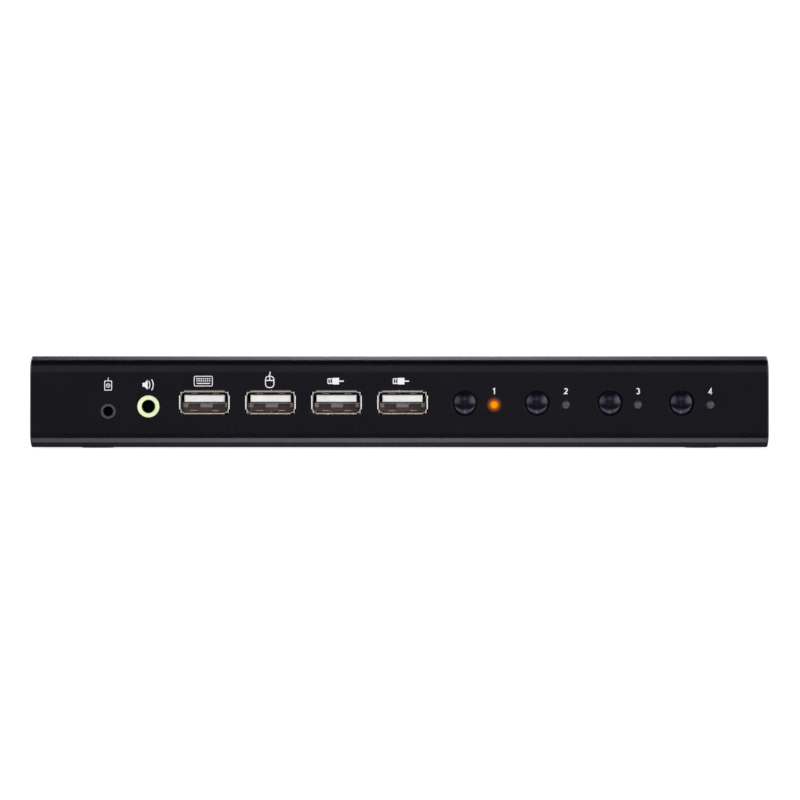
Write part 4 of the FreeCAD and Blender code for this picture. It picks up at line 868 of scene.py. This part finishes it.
class Room:
    """The surround that shiny surfaces mirror: soft bands by height and two side panels."""

    def __init__(self, nodes, links):
        self.nodes = nodes
        self.links = links
        axes = nodes.new("ShaderNodeSeparateXYZ")
        links.new(nodes.new("ShaderNodeTexCoord").outputs["Generated"], axes.inputs["Vector"])
        self.x, self.y, self.z = (axes.outputs[axis] for axis in "XYZ")

    def maths(self, operation, first, second=0.0):
        """One sum on two values."""
        node = self.nodes.new("ShaderNodeMath")
        node.operation = operation
        for socket, value in zip(node.inputs, (first, second)):
            if isinstance(value, bpy.types.NodeSocket):
                self.links.new(value, socket)
            else:
                socket.default_value = value
        return node.outputs["Value"]

    def spread(self, value, source, target, smooth=False):
        """A value moved from one range onto another."""
        node = self.nodes.new("ShaderNodeMapRange")
        node.interpolation_type = "SMOOTHSTEP" if smooth else "LINEAR"
        self.links.new(value, node.inputs["Value"])
        node.inputs["From Min"].default_value, node.inputs["From Max"].default_value = source
        node.inputs["To Min"].default_value, node.inputs["To Max"].default_value = target
        return node.outputs["Result"]

    def ramp(self, value, stops):
        """A grey level read from a list of places and levels."""
        node = self.nodes.new("ShaderNodeValToRGB")
        self.links.new(value, node.inputs["Fac"])
        elements = node.color_ramp.elements
        elements.remove(elements[-1])
        for i, (place, level) in enumerate(stops):
            stop = elements[0] if i == 0 else elements.new(place)
            stop.position = place
            stop.color = (level, level, level, 1.0)
        return node.outputs["Color"]

    def bands(self, levels, ends):
        """Bands of light by height, each dimmer towards its ends."""
        angle = self.maths("ARCTAN2", self.z, self.maths("MULTIPLY", self.y, -1.0))
        stops = [((degrees + 180) / 360, radiance / BAND_PEAK) for degrees, radiance in levels]
        level = self.ramp(self.spread(angle, (-math.pi, math.pi), (0.0, 1.0)), stops)
        left = self.ramp(self.maths("ABSOLUTE", self.x), ends)
        return self.maths("MULTIPLY", self.maths("MULTIPLY", level, left), BAND_PEAK)

    def panel(self, sideways, radiance):
        """A tall soft panel to one side."""
        across = self.spread(sideways, PANEL_EDGE, (0.0, radiance), smooth=True)
        rise = self.maths("ABSOLUTE", self.maths("SUBTRACT", self.z, PANEL_RISE))
        height = self.spread(rise, PANEL_HEIGHT, (1.0, 0.0), smooth=True)
        return self.maths("MULTIPLY", across, height)

    def surround(self):
        """Everything together, as a background node."""
        left = self.panel(self.maths("MULTIPLY", self.x, -1.0), PANEL_LEFT)
        right = self.panel(self.x, PANEL_RIGHT)
        front = self.bands(FRONT_BANDS, FRONT_ENDS)
        bands = self.maths("ADD", front, self.bands(OTHER_BANDS, OTHER_ENDS))
        total = self.maths("ADD", bands, self.maths("ADD", left, right))
        background = self.nodes.new("ShaderNodeBackground")
        background.inputs["Color"].default_value = (*ROOM_TINT, 1.0)
        self.links.new(total, background.inputs["Strength"])
        return background


def plain_surround(nodes, radiance):
    """An even white surround."""
    background = nodes.new("ShaderNodeBackground")
    background.inputs["Color"].default_value = (1.0, 1.0, 1.0, 1.0)
    background.inputs["Strength"].default_value = radiance
    return background


def studio_world():
    """White for the camera, an even fill for matt surfaces, and bands for shiny ones."""
    world = bpy.data.worlds.new("studio")
    bpy.context.scene.world = world
    world.use_nodes = True
    nodes, links = world.node_tree.nodes, world.node_tree.links
    nodes.clear()
    path = nodes.new("ShaderNodeLightPath")
    shown = plain_surround(nodes, FILL)
    mirrored, backdrop = Room(nodes, links).surround(), plain_surround(nodes, BACKDROP)
    for flag, surround in (("Is Glossy Ray", mirrored), ("Is Camera Ray", backdrop)):
        mix = nodes.new("ShaderNodeMixShader")
        links.new(path.outputs[flag], mix.inputs["Fac"])
        links.new(shown.outputs[0], mix.inputs[1])
        links.new(surround.outputs[0], mix.inputs[2])
        shown = mix
    output = nodes.new("ShaderNodeOutputWorld")
    links.new(shown.outputs[0], output.inputs["Surface"])


def softbox(name, azimuth, elevation, distance, size, radiance):
    """A rectangular light that faces the object. Azimuth 0 is in front and 90 to the right."""
    light = bpy.data.lights.new(name, "AREA")
    light.shape = "RECTANGLE"
    light.size, light.size_y = size
    light.energy = radiance * math.pi * size[0] * size[1]
    lamp = bpy.data.objects.new(name, light)
    turn, lift = math.radians(azimuth), math.radians(elevation)
    out = Vector((math.sin(turn) * math.cos(lift), -math.cos(turn) * math.cos(lift), math.sin(lift)))
    lamp.location = BEZEL_MIDDLE + out * distance
    lamp.rotation_mode = "QUATERNION"
    lamp.rotation_quaternion = out.to_track_quat("Z", "Y")
    lamp.visible_camera = False
    lamp.visible_glossy = False
    bpy.context.scene.collection.objects.link(lamp)


def studio_camera():
    """A level camera straight in front of the flat face."""
    data = bpy.data.cameras.new("camera")
    data.sensor_width = SENSOR_MM
    data.lens = SENSOR_MM * CAMERA_DISTANCE / VIEW_WIDTH
    camera = bpy.data.objects.new("camera", data)
    camera.location = (CAMERA_SIDE, FACE_Y - CAMERA_DISTANCE, BEZEL_MIDDLE.z + CAMERA_RISE)
    camera.rotation_euler = (math.radians(90), 0, 0)
    bpy.context.scene.collection.objects.link(camera)
    bpy.context.scene.camera = camera


def studio():
    """The floor, the surround, the lights and the camera."""
    studio_floor()
    studio_world()
    for box in SOFTBOXES:
        softbox(*box)
    studio_camera()
    bpy.context.scene.view_settings.view_transform = "Standard"


finishes = finish_cad_nodes()
ink = legend_ink()
front_legends(ink)
rear_legends(ink)
for shell in VIDEO_NODES + [CONSOLE_NODE]:
    video_contacts(shell, finishes["contact_gold"])
studio()
